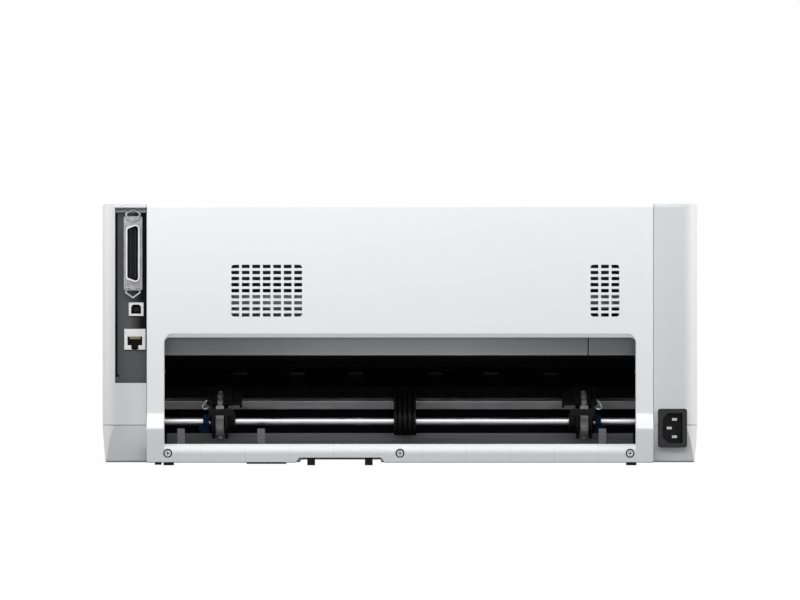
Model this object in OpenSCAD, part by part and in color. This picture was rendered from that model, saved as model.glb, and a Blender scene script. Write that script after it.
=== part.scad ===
// Flat dot matrix printer: moulded case, hinged covers, print mechanism and tractors.
// Millimetres. X runs across the machine, -Y is the operator's side, +Y the rear, Z up from the table.

/* [Case] */
// Overall width across the side housings
body_w = 480; // [460:1:520]
// Overall depth, front to the rear skirt
body_d = 370; // [366:1:390]
// Overall height from the table to the top deck
body_h = 211; // [209:1:217]
// Height of the feet under the lower case
foot_h = 2.5; // [2:0.5:5]
// Height of the seam between the lower and the upper case
seam_z = 32.7; // [31:0.1:34]
// Wall of the moulded shells
wall = 2.6; // [2:0.1:3]
// Shadow gap between neighbouring covers
part_gap = 0.6; // [0.4:0.1:0.8]
// Radius of the upright corners of the side housings
corner_r = 12; // [8:1:14]
// Radius along the outer top edges
edge_r = 3; // [2:0.5:5]
// Amount by which each side of the lower case tapers in
base_taper = 2.5; // [1:0.5:4]
// Amount by which the lower case slants in at the rear
base_slant = 4; // [2:0.5:5]
// Length of the front slope and the front face in plan, ahead of the flat deck
slope_run = 165; // [161:1:171]
// Depth of the front face below the brow
brow_run = 50; // [47:1:53]
// Height of the brow
brow_z = 158; // [155:1:160]
// Distance of the chin, the brow face's lower edge, behind the front
chin_run = 9; // [7:1:11]
// Height of the chin
chin_z = 98; // [96.5:0.5:99]

/* [Rear cover] */
// Width of each side housing beside the rear cover
housing_w = 36.4; // [34:0.1:37.5]
// Depth by which the skirt of the rear cover stands behind the side housings
cover_proud = 17; // [15:1:18]
// Depth by which the skirt stands behind the cover's flat face
skirt_proud = 7; // [5:1:8]
// Height where the skirt's slope ends
skirt_low_z = 30; // [26:1:34]
// Height where the skirt's slope starts
skirt_high_z = 42; // [38:1:46]
// Amount by which the skirt slants in again down to the feet
skirt_slant = 5; // [3:0.5:6]
// Width of the legs beside the rear paper opening
leg_w = 13.9; // [12.6:0.1:15.6]
// Bottom of the rear paper opening
opening_z0 = 17.4; // [17:0.2:18.4]
// Top of the rear paper opening
opening_z1 = 103; // [101:0.5:106]
// Radius of the opening's upper corners
opening_r = 4.4; // [4:0.2:10]
// Height of the bevel above the opening
bevel_h = 3.4; // [2:0.2:6]
// Radius of the rounded sill below the opening
sill_r = 6.5; // [4:0.5:8]

/* [Vent grilles] */
// Slots across the wide grille
vent_cols_a = 7; // [5:1:9]
// Slots across the narrow grille
vent_cols_b = 3; // [2:1:4]
// Rows of slots in both grilles
vent_rows = 9; // [7:1:11]
// Width of one slot
slot_w = 6.2; // [5:0.1:7]
// Height of one slot
slot_h = 2.7; // [2:0.1:3.4]
// Distance between slots across
slot_dx = 8.43; // [8.2:0.01:9]
// Distance between slots upwards
slot_dz = 4.87; // [4.5:0.01:5.4]
// Middle of the wide grille
vent_a_x = 107.2; // [95:0.2:115]
// Distance of the narrow grille's middle from the side of the rear cover
vent_b_inset = 38.8; // [33.6:0.2:53.6]
// Height of the middle of both grilles
vent_z = 140.7; // [136:0.1:150]

/* [Top cover and front door] */
// Radius of the top cover's hinge barrel
barrel_r = 7; // [6:0.5:8]
// Distance from the back to the rear cover's front edge, where the top cover's barrel turns
cover_joint_run = 118.4; // [117:0.2:123]
// Length of the smoked window along the slope
window_l = 70; // [50:1:80]
// Width of the smoked window
window_w = 300; // [240:5:340]
// Distance of the front door's ends from the sides of the rear cover, in line
door_inset = 14.6; // [13.6:0.1:23.6]
// Height of the front door's hinge axis
door_axis_z = 41; // [40:0.5:42]
// Radius of the front door's hinge barrel
door_barrel_r = 4.5; // [4:0.1:5]
// Top edge of the closed front door
door_top_z = 89; // [84:1:90]

/* [Flip-up sheet guide] */
// Distance of the sheet guide's ends from the sides of the rear cover
guide_inset = 14.6; // [14.6:0.1:33.6]
// Height of the sheet guide's hinge axis below the deck
guide_drop = 5; // [4.5:0.1:5.5]
// Thickness of the sheet guide's panel
guide_t = 4; // [3:0.2:4.2]
// Distance from the back to the rear edge of the sheet guide's recess
tray_rear_run = 13.6; // [13:0.1:14.2]
// Distance from the back to the front edge of the sheet guide's recess
tray_front_run = 99; // [89:1:101]
// Distance of each edge guide from the middle at rest
edge_guide_x = 82; // [70:1:110]

/* [Ports] */
// Width of the case's wall strip outside the interface recess
port_margin = 10.5; // [9.5:0.1:11.4]
// Bottom of the interface recess
port_z0 = 66.4; // [62:0.2:72]
// Distance of the top of the interface recess below the deck
port_drop = 3.4; // [3:0.1:7]
// Depth of the interface plate behind the side housing's face
port_depth = 8; // [6:0.5:10]
// Thickness of the interface plate
plate_t = 1.2; // [1:0.1:1.6]
// Distance of the parallel connector's middle from the side of the case
parallel_inset = 24.7; // [24:0.1:25.4]
// Distance of the parallel connector's middle below the top of the recess
parallel_drop = 36.7; // [35.5:0.1:38]
// Length of the parallel connector's metal flange
parallel_l = 59.8; // [59:0.2:62]
// Distance of the square data port's middle from the side of the case
usb_inset = 27.2; // [26:0.1:27.6]
// Distance of the square data port's middle below the parallel connector's
usb_drop = 45; // [43:0.1:47]
// Distance of the network port's middle from the side of the case
net_inset = 26.2; // [25.6:0.1:26.6]
// Distance of the network port's middle below the parallel connector's
net_drop = 69.3; // [67:0.1:73]
// Distance of the mains inlet's middle from the side of the case
inlet_inset = 20.6; // [20:0.1:21]
// Height of the middle of the mains inlet
inlet_z = 30.1; // [29:0.1:31]

/* [Mechanism] */
// Distance of the side frames' inner faces from the sides of the rear cover
frame_inset = 10.6; // [9.6:0.1:12.1]
// Thickness of the side frames
frame_t = 2; // [1.5:0.1:2.4]
// Clearance of parts that end at a side frame
end_gap = 0.3; // [0.2:0.05:0.4]
// Radial clearance of shafts in their bores
fit = 0.05; // [0.02:0.01:0.09]
// Distance from the feed rollers' axis forward to the platen's
platen_run = 82; // [81:0.5:83]
// Height of the platen's axis
platen_z = 81; // [80:0.2:81.4]
// Radius of the platen roller
platen_r = 14; // [12:0.5:14.4]
// Radius of the platen shaft
platen_shaft_r = 5; // [4:0.5:6]
// Distance from the square drive shaft forward to the feed rollers' axis
feed_run = 50; // [49:0.5:51]
// Height of the feed rollers' axis
feed_z = 67; // [66:0.2:67.4]
// Radius of the feed rollers
feed_r = 7.5; // [7.2:0.1:8]
// Radius of the feed roller shaft
feed_shaft_r = 3.5; // [3:0.1:3.8]
// Distance from the platen's axis forward to the carriage shaft
rail_run = 38; // [37:0.5:40]
// Height of the carriage shaft
rail_z = 118; // [116:0.5:119]
// Radius of the carriage shaft
rail_r = 6; // [5:0.5:7]
// Distance at which the carriage stops short of each belt pulley
carriage_stop = 30; // [29:1:45]
// Radius of the timing belt's pulleys
pulley_r = 7; // [6:0.5:8]
// Distance of the belt pulleys from the side frames
pulley_inset = 28; // [26:0.5:30]
// Radius of the stepping motors
motor_r = 18; // [15:0.5:18.5]

/* [Gears] */
// Module of the gear train
gear_m = 1; // [1:0.01:1.02]
// Teeth of the platen gear
platen_teeth = 40; // [38:1:42]
// Teeth of the front transfer gear
front_teeth = 56; // [54:1:58]
// Teeth of the feed roller gear
feed_teeth = 20; // [18:1:22]
// Teeth of the rear transfer gear
rear_teeth = 36; // [35:1:37]
// Teeth of the tractor shaft's gear
tractor_teeth = 20; // [19:1:21]
// Teeth of the feed motor's pinion
pinion_teeth = 14; // [13:1:16]
// Width of the gears
gear_w = 5; // [4:0.5:5.5]

/* [Tractors] */
// Distance of the round guide shaft from the back
guide_run = 35; // [34:0.5:36]
// Height of the round guide shaft
guide_z = 35.2; // [34.6:0.1:35.8]
// Radius of the round guide shaft
guide_r = 3; // [2.5:0.1:3.2]
// Distance from the round guide shaft forward to the square drive shaft
drive_run = 38; // [37:0.5:39]
// Height of the square drive shaft
drive_z = 49.4; // [48.8:0.1:50]
// Side of the square drive shaft
drive_side = 7; // [6:0.1:7.4]
// Rotation of the square drive shaft at rest
drive_turn = 66.4; // [45:0.1:90]
// Distance of the left tractor's belt from the side of the rear cover at rest
left_inset = 58.2; // [53.6:0.2:65.6]
// Distance of the right tractor's belt from the side of the rear cover at rest
right_inset = 54.9; // [51.6:0.1:63.6]
// Outer radius of the pin belt at its bends
belt_r = 11.8; // [11:0.1:12.2]
// Width of the pin belt
belt_w = 6.5; // [5.5:0.1:7]
// Thickness of the pin belt
belt_t = 1.4; // [1:0.1:1.8]
// Pins round each belt
belt_pins = 12; // [10:1:12]
// Middle of the paper support between the tractors
support_x = -4; // [-12:0.5:12]
// Width of the paper support
support_w = 17.8; // [14:0.2:24]

/* [Control panel] */
// Distance of the control panel's middle from the side of the rear cover, in line
panel_inset = 75.6; // [71.6:0.1:93.6]
// Length of the control panel across
panel_w = 118; // [110:1:124]
// Height of the control panel along the brow
panel_h = 34; // [30:1:38]
// Distance between the panel's buttons
button_dx = 24; // [20:0.5:26]
// Travel of the buttons
button_travel = 0.8; // [0.5:0.1:1]

/* [Hidden] */
$fn = 48;

front_y = -body_d / 2;
rear_y = body_d / 2;
housing_y = rear_y - cover_proud;
face_y = rear_y - skirt_proud;
deck_y = front_y + slope_run;
brow_y = front_y + brow_run;
chin_y = front_y + chin_run;
cover_w = body_w - 2 * housing_w;
opening_w = cover_w - 2 * leg_w;
door_w = cover_w - 2 * door_inset;
guide_w = cover_w - 2 * guide_inset;
cover_joint_y = rear_y - cover_joint_run;
tray_rear_y = rear_y - tray_rear_run;
tray_front_y = rear_y - tray_front_run;
port_x1 = body_w / 2 - port_margin;
port_z1 = body_h - port_drop;
frame_x = cover_w / 2 - frame_inset;
guide_y = rear_y - guide_run;
drive_y = guide_y - drive_run;
feed_y = drive_y - feed_run;
platen_y = feed_y - platen_run;
rail_y = platen_y - rail_run;
bay_w = cover_w + 2 * part_gap;
inner_rib = bay_w / 2 + wall;
slope = (body_h - brow_z) / (deck_y - brow_y);
cover_front_y = brow_y + 9;
hinge_y = cover_joint_y - part_gap - barrel_r;
hinge_z = body_h - barrel_r;
hinge_pin_r = 3;
floor_z = foot_h + wall;
channel_x0 = 15.4;
channel_x1 = 80.8;
channel_flare = 4;
channel_h = 4;
peg_x = [channel_x0 + 9.8, channel_x1 - 9.1];
pad_x = cover_w / 2 - 16.9;
channel_top = foot_h + channel_h;
channel_front_y = 30;
chassis_z = channel_top + wall + 1;
chassis_t = 1.6;
chassis_top = chassis_z + chassis_t;

// ---------- outline helpers ----------

function unit(v) = v / norm(v);
function flat(p) = [p.x, p.y];

// One corner of an outline as an arc whose radius is the corner's third value
function corner(a, b, c, n) =
    b[2] == 0 ? [flat(b)] :
    let(u = unit(flat(a) - flat(b)), v = unit(flat(c) - flat(b)))
    let(half = acos(u * v) / 2, centre = flat(b) + unit(u + v) * b[2] / sin(half))
    let(p = flat(b) + u * b[2] / tan(half) - centre, q = flat(b) + v * b[2] / tan(half) - centre)
    let(start = atan2(p.y, p.x), sweep = atan2(q.y, q.x) - start)
    let(turn = sweep > 180 ? sweep - 360 : sweep < -180 ? sweep + 360 : sweep)
    [for (k = [0:n]) centre + b[2] * [cos(start + turn * k / n), sin(start + turn * k / n)]];

// Closed outline of corners [x, y, radius]
function rounded(p, n = 6) =
    let(m = len(p))
    [for (i = [0:m - 1]) each corner(p[(i + m - 1) % m], p[i], p[(i + 1) % m], n)];

// The same corners moved inwards by d, for an outline that runs anticlockwise
function inset(p, d) =
    let(m = len(p))
    [for (i = [0:m - 1])
        let(u = unit(flat(p[i]) - flat(p[(i + m - 1) % m])), v = unit(flat(p[(i + 1) % m]) - flat(p[i])))
        let(shift = d * [-u.y - v.y, u.x + v.x] / (1 + u * v))
        [p[i].x + shift.x, p[i].y + shift.y, max(p[i][2] - d, 0)]];

// Closed outline of a sheet of thickness t that follows a line of points, on its left side
function sheet(p, t) =
    let(m = len(p))
    concat(p, [for (i = [m - 1:-1:0])
        let(u = i > 0 ? unit(p[i] - p[i - 1]) : unit(p[1] - p[0]))
        let(v = i < m - 1 ? unit(p[i + 1] - p[i]) : u)
        p[i] + t * [-u.y - v.y, u.x + v.x] / (1 + u * v)]);

// Outline round two bends of radius r whose centres lie on the x axis at 0 and -span
function loop_outline(r, span, n = 12) = concat(
    [for (k = [0:n]) r * [cos(-90 + 180 * k / n), sin(-90 + 180 * k / n)]],
    [for (k = [0:n]) [-span, 0] + r * [cos(90 + 180 * k / n), sin(90 + 180 * k / n)]]);

// Outline in Y and Z, pushed along X between two places
module across(points, x0, x1) {
    translate([x0, 0, 0]) rotate([90, 0, 90]) linear_extrude(x1 - x0) polygon(points);
}

// Outline in X and Z, pushed along Y between two places
module along(points, y0, y1) {
    translate([0, y1, 0]) rotate([90, 0, 0]) linear_extrude(y1 - y0) polygon(points);
}

module block(from, to) {
    translate(from) cube(to - from);
}

// Round bar along X
module rod(x0, x1, r, y, z) {
    translate([x0, y, z]) rotate([0, 90, 0]) cylinder(h = x1 - x0, r = r);
}

// Block along X whose outline in X and Z has rounded corners
module slab_xz(x0, x1, z0, z1, y0, y1, r) {
    along(rounded([[x0, z0, r], [x1, z0, r], [x1, z1, r], [x0, z1, r]], 4), y0, y1);
}

// ---------- case ----------

side_outline = [
    [front_y, foot_h, 3], [housing_y - base_slant, foot_h, 2], [housing_y, seam_z, 0], [housing_y, body_h, 3],
    [deck_y, body_h, 45], [brow_y, brow_z, 22], [chin_y, chin_z, 12], [front_y, seam_z, 0]];
plan_outline = [
    [-body_w / 2, front_y, corner_r], [body_w / 2, front_y, corner_r],
    [body_w / 2, housing_y, corner_r], [-body_w / 2, housing_y, corner_r]];
front_outline = [
    [-body_w / 2 + base_taper, foot_h, 1.5], [body_w / 2 - base_taper, foot_h, 1.5],
    [body_w / 2, seam_z, 0], [body_w / 2, body_h, edge_r],
    [-body_w / 2, body_h, edge_r], [-body_w / 2, seam_z, 0]];

// The whole case as one form, made smaller all round by d
module case_form(d) {
    intersection() {
        across(rounded(inset(side_outline, d), 8), -body_w, body_w);
        translate([0, 0, -1]) linear_extrude(body_h + 2) polygon(rounded(inset(plan_outline, d), 10));
        along(rounded(inset(front_outline, d), 4), front_y - 1, rear_y);
    }
}

seam_gap = 0.4;
case_post_r = 5;
post_x = frame_x - 14;

module lower_case() {
    color("gainsboro") {
        difference() {
            case_form(0);
            case_form(wall);
            block([-body_w, -body_d, seam_z - seam_gap], [body_w, body_d, body_h + 9]);
            block([-bay_w / 2, housing_y - wall - 9, opening_z0 - 3], [bay_w / 2, rear_y, seam_z]);
            inlet_hole();
            block([channel_x0, channel_front_y, -9], [channel_x1, rear_y, channel_top]);
        }
        difference() {
            block([channel_x0 - wall, channel_front_y - wall, foot_h + 0.5],
                  [channel_x1 + wall, housing_y - wall, channel_top + wall]);
            block([channel_x0, channel_front_y, -9], [channel_x1, rear_y, channel_top]);
        }
        for (x = [-post_x, post_x], y = [front_y + 53, rear_y - 53]) {
            translate([x, y, floor_z - 0.5]) cylinder(h = chassis_z - floor_z + 0.5, r = case_post_r);
        }
    }
}

board_x = port_x1 - 6.5;
board_t = 1.6;
board_y0 = rear_y - 165;
board_y1 = rear_y - 35;
supply_x = -board_x;
supply_y = rear_y - 245;

module upper_case() {
    color("whitesmoke") {
        difference() {
            case_form(0);
            block([-body_w, -body_d, -9], [body_w, body_d, seam_z]);
            intersection() {
                case_form(wall);
                union() {
                    block([inner_rib, -body_d, 0], [body_w, body_d, body_h]);
                    block([-body_w, -body_d, 0], [-inner_rib, body_d, body_h]);
                    block([-bay_w / 2, -body_d, 0], [bay_w / 2, cover_front_y - 2, body_h]);
                }
            }
            block([-bay_w / 2, cover_front_y - part_gap, 0], [bay_w / 2, body_d, body_h + 9]);
            block([-bay_w / 2, cover_front_y - wall, 0], [bay_w / 2, body_d, brow_z - 8]);
            block([bay_w / 2 - 1, housing_y - wall - 1, port_z0], [port_x1, rear_y, port_z1]);
            block([bay_w / 2 - 1, housing_y - 42, port_z0 - 4],
                  [inner_rib + 0.1, housing_y - wall, body_h - wall + 0.2]);
            inlet_hole();
            door_hole();
            for (s = [-1, 1]) {
                x = s * (door_w / 2 + 4);
                rod(x - 4.5, x + 4.5, door_pin_r + fit, door_axis_y, door_axis_z);
            }
            on_brow() translate([panel_x, 0, 0]) cube([panel_w, panel_h, 18], center = true);
            rod(-inner_rib - 1, inner_rib + 1, hinge_pin_r + fit, hinge_y, hinge_z);
        }
        for (s = [-1, 1]) door_lug(s);
        for (y = [board_y0 + 10, board_y1 - 20], z = [80, body_h - 25]) {
            rod(board_x + board_t, body_w / 2 - wall + 0.5, 3, y, z);
        }
        for (y = [supply_y + 20, supply_y + 140], z = [56, 130]) {
            rod(-body_w / 2 + wall - 0.5, supply_x - board_t, 3, y, z);
        }
    }
}

// ---------- rear cover ----------

cover_t = 3;
tray_floor_z = body_h - 10;
tray_w = guide_w + 1.4;
bevel_d = 1.4;
exit_w = 300;
vent_b_x = vent_b_inset - cover_w / 2;
screw_head_r = 2.8;
screw_places = [18.6 - cover_w / 2, 0, pad_x];
screw_z = 10;
skirt_foot_y = rear_y - skirt_slant;

rear_outline = [
    [skirt_foot_y, foot_h, 0], [rear_y, skirt_low_z, 3], [face_y, skirt_high_z, 4], [face_y, body_h, 3.4],
    [cover_joint_y, body_h, 1], [cover_joint_y, body_h - cover_t, 0],
    [face_y - cover_t, body_h - cover_t, 3], [face_y - cover_t, skirt_high_z - 1, 3],
    [rear_y - cover_t, skirt_low_z - 1, 3], [skirt_foot_y - cover_t, foot_h, 0]];

// Row of vent slots, with quarter-round outer corners on the four corner slots
module vent(x, cols) {
    w = (cols - 1) * slot_dx + slot_w;
    h = (vent_rows - 1) * slot_dz + slot_h;
    intersection() {
        slab_xz(x - w / 2, x + w / 2, vent_z - h / 2, vent_z + h / 2, face_y - 9, face_y + 9, slot_h * 0.8);
        for (i = [0:cols - 1], k = [0:vent_rows - 1]) {
            translate([x - w / 2 + i * slot_dx, face_y - 8, vent_z - h / 2 + k * slot_dz])
                cube([slot_w, 16, slot_h]);
        }
    }
}

module rear_cover() {
    color("white") {
        difference() {
            union() {
                across(rounded(rear_outline, 6), -cover_w / 2, cover_w / 2);
                for (s = [-1, 1]) {
                    side_x = s * (cover_w - cover_t) / 2;
                    across([[face_y - 28, foot_h + 12], [face_y - 6, foot_h + 12],
                            [skirt_foot_y - 2, foot_h], [rear_y - 1.5, skirt_low_z - 2],
                            [face_y - 1, skirt_high_z], [face_y - 1, body_h - 1],
                            [face_y - 28, body_h - 1]], side_x - cover_t / 2, side_x + cover_t / 2);
                    leg_x = s * (cover_w - leg_w) / 2;
                    block([leg_x - leg_w / 2, face_y - 12, foot_h + 12],
                          [leg_x + leg_w / 2, face_y - 1, opening_z1 + 8]);
                }
            }
            rear_opening(face_y - 30, rear_y + 5);
            opening_bevel();
            vent(vent_a_x, vent_cols_a);
            vent(vent_b_x, vent_cols_b);
            block([-tray_w / 2, tray_front_y, body_h - 9], [tray_w / 2, tray_rear_y, body_h + 9]);
            block([-exit_w / 2, cover_joint_y + 4.4, body_h - 9],
                  [exit_w / 2, tray_front_y - 4, body_h + 9]);
            notch();
            screw_holes();
        }
        difference() {
            sill();
            notch();
            screw_holes();
        }
        sheet_tray();
    }
}

// Space of the rear paper opening, round at its upper corners and made higher by rise
module rear_opening(y0, y1, rise = 0) {
    x = opening_w / 2;
    z = opening_z1 + rise;
    along(rounded([[-x, 0, 0], [x, 0, 0], [x, z, opening_r + rise], [-x, z, opening_r + rise]], 6), y0, y1);
}

// Slanted face above the opening that follows its round corners
module opening_bevel() {
    intersection() {
        rear_opening(face_y - 9, face_y + 3, bevel_h);
        across([[face_y + bevel_d, opening_z1 - bevel_h], [face_y + bevel_d, opening_z1 + 2 * bevel_h],
                [face_y, opening_z1 + bevel_h], [face_y - 2 * bevel_d, opening_z1 - bevel_h]],
               -opening_w / 2 - 1, opening_w / 2 + 1);
    }
}

screw_seat_y = rear_y - skirt_slant * (skirt_low_z - screw_z) / (skirt_low_z - foot_h) - 2.4;

// Counterbored holes of the cover's screws
module screw_holes() {
    for (x = screw_places) translate([x, screw_seat_y, screw_z]) rotate([90, 0, 0]) {
        translate([0, 0, -9]) cylinder(h = 9, r = screw_head_r + 0.8);
        cylinder(h = 30, r = 1.6);
    }
}

// Rounded sill that closes the cover below the opening, a hair behind the legs
module sill() {
    hair = 0.05;
    top_y = rear_y - skirt_slant * (skirt_low_z - opening_z0) / (skirt_low_z - foot_h) - hair;
    across(rounded([[rear_y - 14, foot_h, 0], [skirt_foot_y - hair, foot_h, 0], [top_y, opening_z0, sill_r],
                    [rear_y - 14, opening_z0, 0]], 8), 1 - cover_w / 2, cover_w / 2 - 1);
}

// Channel under the case, with flared ends where it leaves the rear cover
module notch() {
    along([[channel_x0 - channel_flare, foot_h - 1], [channel_x1 + channel_flare, foot_h - 1],
           [channel_x1, channel_top], [channel_x0, channel_top]], housing_y - 1, rear_y + 2);
}

guide_barrel_r = guide_t + 0.1;
guide_axis_y = tray_rear_y - guide_barrel_r - 0.7;
guide_axis_z = body_h - guide_drop;
guide_pin_r = 1.8;
tray_wall = 2.4;

// Recess under the flip-up sheet guide, with the bearings of its hinge pins
module sheet_tray() {
    difference() {
        union() {
            block([-tray_w / 2 - tray_wall, tray_front_y - tray_wall, tray_floor_z - 2.4],
                  [tray_w / 2 + tray_wall, tray_rear_y - 10, tray_floor_z]);
            for (s = [-1, 1]) {
                x = s * (tray_w + tray_wall) / 2;
                block([x - tray_wall / 2, tray_front_y - tray_wall, tray_floor_z - 2.4],
                      [x + tray_wall / 2, face_y - 2, body_h - 1]);
            }
            block([-tray_w / 2 - tray_wall, tray_front_y - tray_wall, tray_floor_z - 2.4],
                  [tray_w / 2 + tray_wall, tray_front_y, body_h - 1]);
        }
        rod(-tray_w / 2 - 9, tray_w / 2 + 9, guide_pin_r + fit, guide_axis_y, guide_axis_z);
    }
}

// Recessed pan-head screws with a cross slot, all alike
module case_screws() {
    color("silver") {
        for (x = screw_places) translate([x, screw_seat_y, screw_z]) rotate([-90, 0, 0]) difference() {
            union() {
                cylinder(h = 1.6, r = screw_head_r);
                translate([0, 0, -9]) cylinder(h = 9.5, r = 1.5);
            }
            for (a = [0, 90]) rotate(a) translate([-2, -0.4, 0.7]) cube([4, 0.8, 2]);
        }
    }
}

// Rubber feet with two pads and a strip at the rear, and the two pegs that hang in the channel
module feet() {
    color("dimgray") {
        for (x = [-pad_x, pad_x]) translate([x, front_y + 39, 0]) cylinder(h = foot_h, r = 5);
        for (x = [-pad_x, pad_x]) block([x - 4, housing_y - 24, 0], [x + 4, housing_y - 8, foot_h]);
        block([pad_x + 6, housing_y - 24, 0.4], [pad_x + 11, housing_y - 8, foot_h]);
        block([channel_x1 + 11, housing_y - 20, 1.1], [channel_x1 + 43, housing_y - 10, foot_h]);
        for (x = peg_x) block([x - 3.1, housing_y - 16, 0], [x + 3.1, housing_y - 8, channel_top]);
    }
}

// ---------- front door ----------

door_axis_y = front_y + 1.4 + door_barrel_r;
door_pin_r = 2.5;

module door_hole() {
    block([-door_w / 2 - part_gap, front_y - 9, door_axis_z - door_barrel_r - part_gap],
          [door_w / 2 + part_gap, front_y + 30, chin_z + 2]);
}

module door_lug(s) {
    x = s * (door_w / 2 + part_gap + 3.5);
    difference() {
        across(rounded([[door_axis_y - 3, door_axis_z - 7, 0], [door_axis_y + 7, door_axis_z - 7, 3],
                        [door_axis_y + 7, door_axis_z + 7, 3], [door_axis_y - 3, door_axis_z + 7, 0]], 4),
               x - 3.4, x + 3.4);
        rod(x - 9, x + 9, door_pin_r + fit, door_axis_y, door_axis_z);
    }
}

module front_door() {
    color("whitesmoke") {
        across(rounded([[door_axis_y - door_barrel_r, door_axis_z - door_barrel_r, door_barrel_r - 0.01],
                        [door_axis_y + door_barrel_r, door_axis_z - door_barrel_r, door_barrel_r - 0.01],
                        [door_axis_y + door_barrel_r, door_axis_z + door_barrel_r, 3],
                        [door_axis_y - door_barrel_r + wall, door_axis_z + door_barrel_r, 2],
                        [door_axis_y - door_barrel_r + wall, door_top_z - 6, 2],
                        [door_axis_y + 3, door_top_z - 2, 1], [door_axis_y + 3, door_top_z, 1],
                        [door_axis_y - door_barrel_r, door_top_z, 3]], 5), -door_w / 2, door_w / 2);
        for (s = [-1, 1]) {
            x = s * (door_w / 2 + 2.4);
            rod(x - 3.4, x + 3.4, door_pin_r, door_axis_y, door_axis_z);
        }
    }
}

// ---------- top cover ----------

// Frame on the deck's front slope: X across, Y up the slope, Z out of it, with its middle at the window
module on_slope() {
    translate([0, window_y, body_h - (deck_y - window_y) * slope]) rotate([atan(slope), 0, 0]) children();
}

// Frame on the middle of the brow face above the paper slot
module on_brow() {
    translate([0, (brow_y + chin_y) / 2, (brow_z + chin_z) / 2])
        rotate([atan2(brow_z - chin_z, brow_y - chin_y), 0, 0]) children();
}

window_y = (brow_y + deck_y) / 2 + 0.5;
window_gap = 0.25;
cover_edge_w = cover_w - 0.8;
skirt_h = 9;

module top_cover() {
    inner_x = cover_edge_w / 2 - wall;
    color("whitesmoke") {
        difference() {
            across(rounded(side_outline, 8), -cover_edge_w / 2, cover_edge_w / 2);
            translate([0, 0, -skirt_h]) across(rounded(side_outline, 8), -body_w, body_w);
            block([-body_w, -body_d, -9], [body_w, cover_front_y, body_h + 9]);
            block([-body_w, hinge_y - 5, -9], [body_w, body_d, body_h + 9]);
            intersection() {
                across(rounded(inset(side_outline, wall), 8), -inner_x, inner_x);
                block([-body_w, cover_front_y + wall, 0], [body_w, hinge_y - 8, body_h]);
            }
            on_slope() linear_extrude(20, center = true) polygon(window_outline(window_gap));
        }
        across(rounded([[hinge_y - 8, hinge_z - barrel_r, 3],
                        [hinge_y + barrel_r, hinge_z - barrel_r, barrel_r - 0.01],
                        [hinge_y + barrel_r, body_h, barrel_r - 0.01], [hinge_y - 8, body_h, 0]], 8),
               -cover_edge_w / 2, cover_edge_w / 2);
        for (s = [-1, 1]) {
            x = s * (cover_edge_w / 2 + 1);
            rod(x - 2.6, x + 2.6, hinge_pin_r, hinge_y, hinge_z);
        }
    }
}

function window_outline(grow) = rounded([
    [-window_w / 2 - grow, -window_l / 2 - grow, 8], [window_w / 2 + grow, -window_l / 2 - grow, 8],
    [window_w / 2 + grow, window_l / 2 + grow, 8], [-window_w / 2 - grow, window_l / 2 + grow, 8]], 6);

module cover_window() {
    color("dimgray", 0.7) on_slope() {
        translate([0, 0, -wall]) linear_extrude(wall - 0.2) polygon(window_outline(0));
        translate([0, 0, -wall - 1.2]) linear_extrude(1.2) polygon(window_outline(3));
    }
}

// ---------- flip-up sheet guide ----------

guide_slot_y = (guide_axis_y + tray_front_y) / 2;
guide_slot_w = 4;
guide_under_z = guide_axis_z + 0.1;

module sheet_guide() {
    color("whitesmoke") {
        difference() {
            union() {
                block([-guide_w / 2, tray_front_y + 0.8, guide_under_z],
                      [guide_w / 2, guide_axis_y, guide_axis_z + guide_barrel_r]);
                rod(-guide_w / 2, guide_w / 2, guide_barrel_r, guide_axis_y, guide_axis_z);
            }
            block([-150, guide_slot_y - guide_slot_w / 2, guide_axis_z - 9],
                  [150, guide_slot_y + guide_slot_w / 2, guide_axis_z + 9]);
            translate([0, tray_front_y - 2, guide_axis_z - 9]) cylinder(h = 20, r = 14);
        }
        for (s = [-1, 1]) {
            x = s * (guide_w / 2 + 1);
            rod(x - 1.8, x + 1.8, guide_pin_r, guide_axis_y, guide_axis_z);
        }
    }
}

// Thin fin under the sheet guide, held by a stem in the guide's slot
module edge_guide(x) {
    block([x - 8, tray_front_y + 8, guide_under_z - 2], [x + 8, guide_slot_y + 14, guide_under_z - 0.3]);
    block([x - 6, guide_slot_y - guide_slot_w / 2 + 0.3, guide_under_z - 1],
          [x + 6, guide_slot_y + guide_slot_w / 2 - 0.3, guide_axis_z + guide_barrel_r - 0.5]);
    block([x - 1, tray_front_y + 8, guide_under_z - 4.6], [x + 1, guide_slot_y + 14, guide_under_z - 1.9]);
}

module edge_guide_left() {
    color("lightgray") edge_guide(edge_guide_x);
}

module edge_guide_right() {
    color("lightgray") edge_guide(-edge_guide_x);
}

// ---------- rear interfaces ----------

plate_y = housing_y - port_depth;
parallel_x = body_w / 2 - parallel_inset;
parallel_w = 15;
parallel_z = port_z1 - parallel_drop;
shell_w = 11.2;
shell_l = parallel_l - 11;
shell_t = 1.25;
usb_x = body_w / 2 - usb_inset;
usb_z = parallel_z - usb_drop;
usb_w = 11.9;
usb_h = 10.8;
net_x = body_w / 2 - net_inset;
net_z = parallel_z - net_drop;
net_w = 17.2;
net_h = 16.8;

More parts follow.
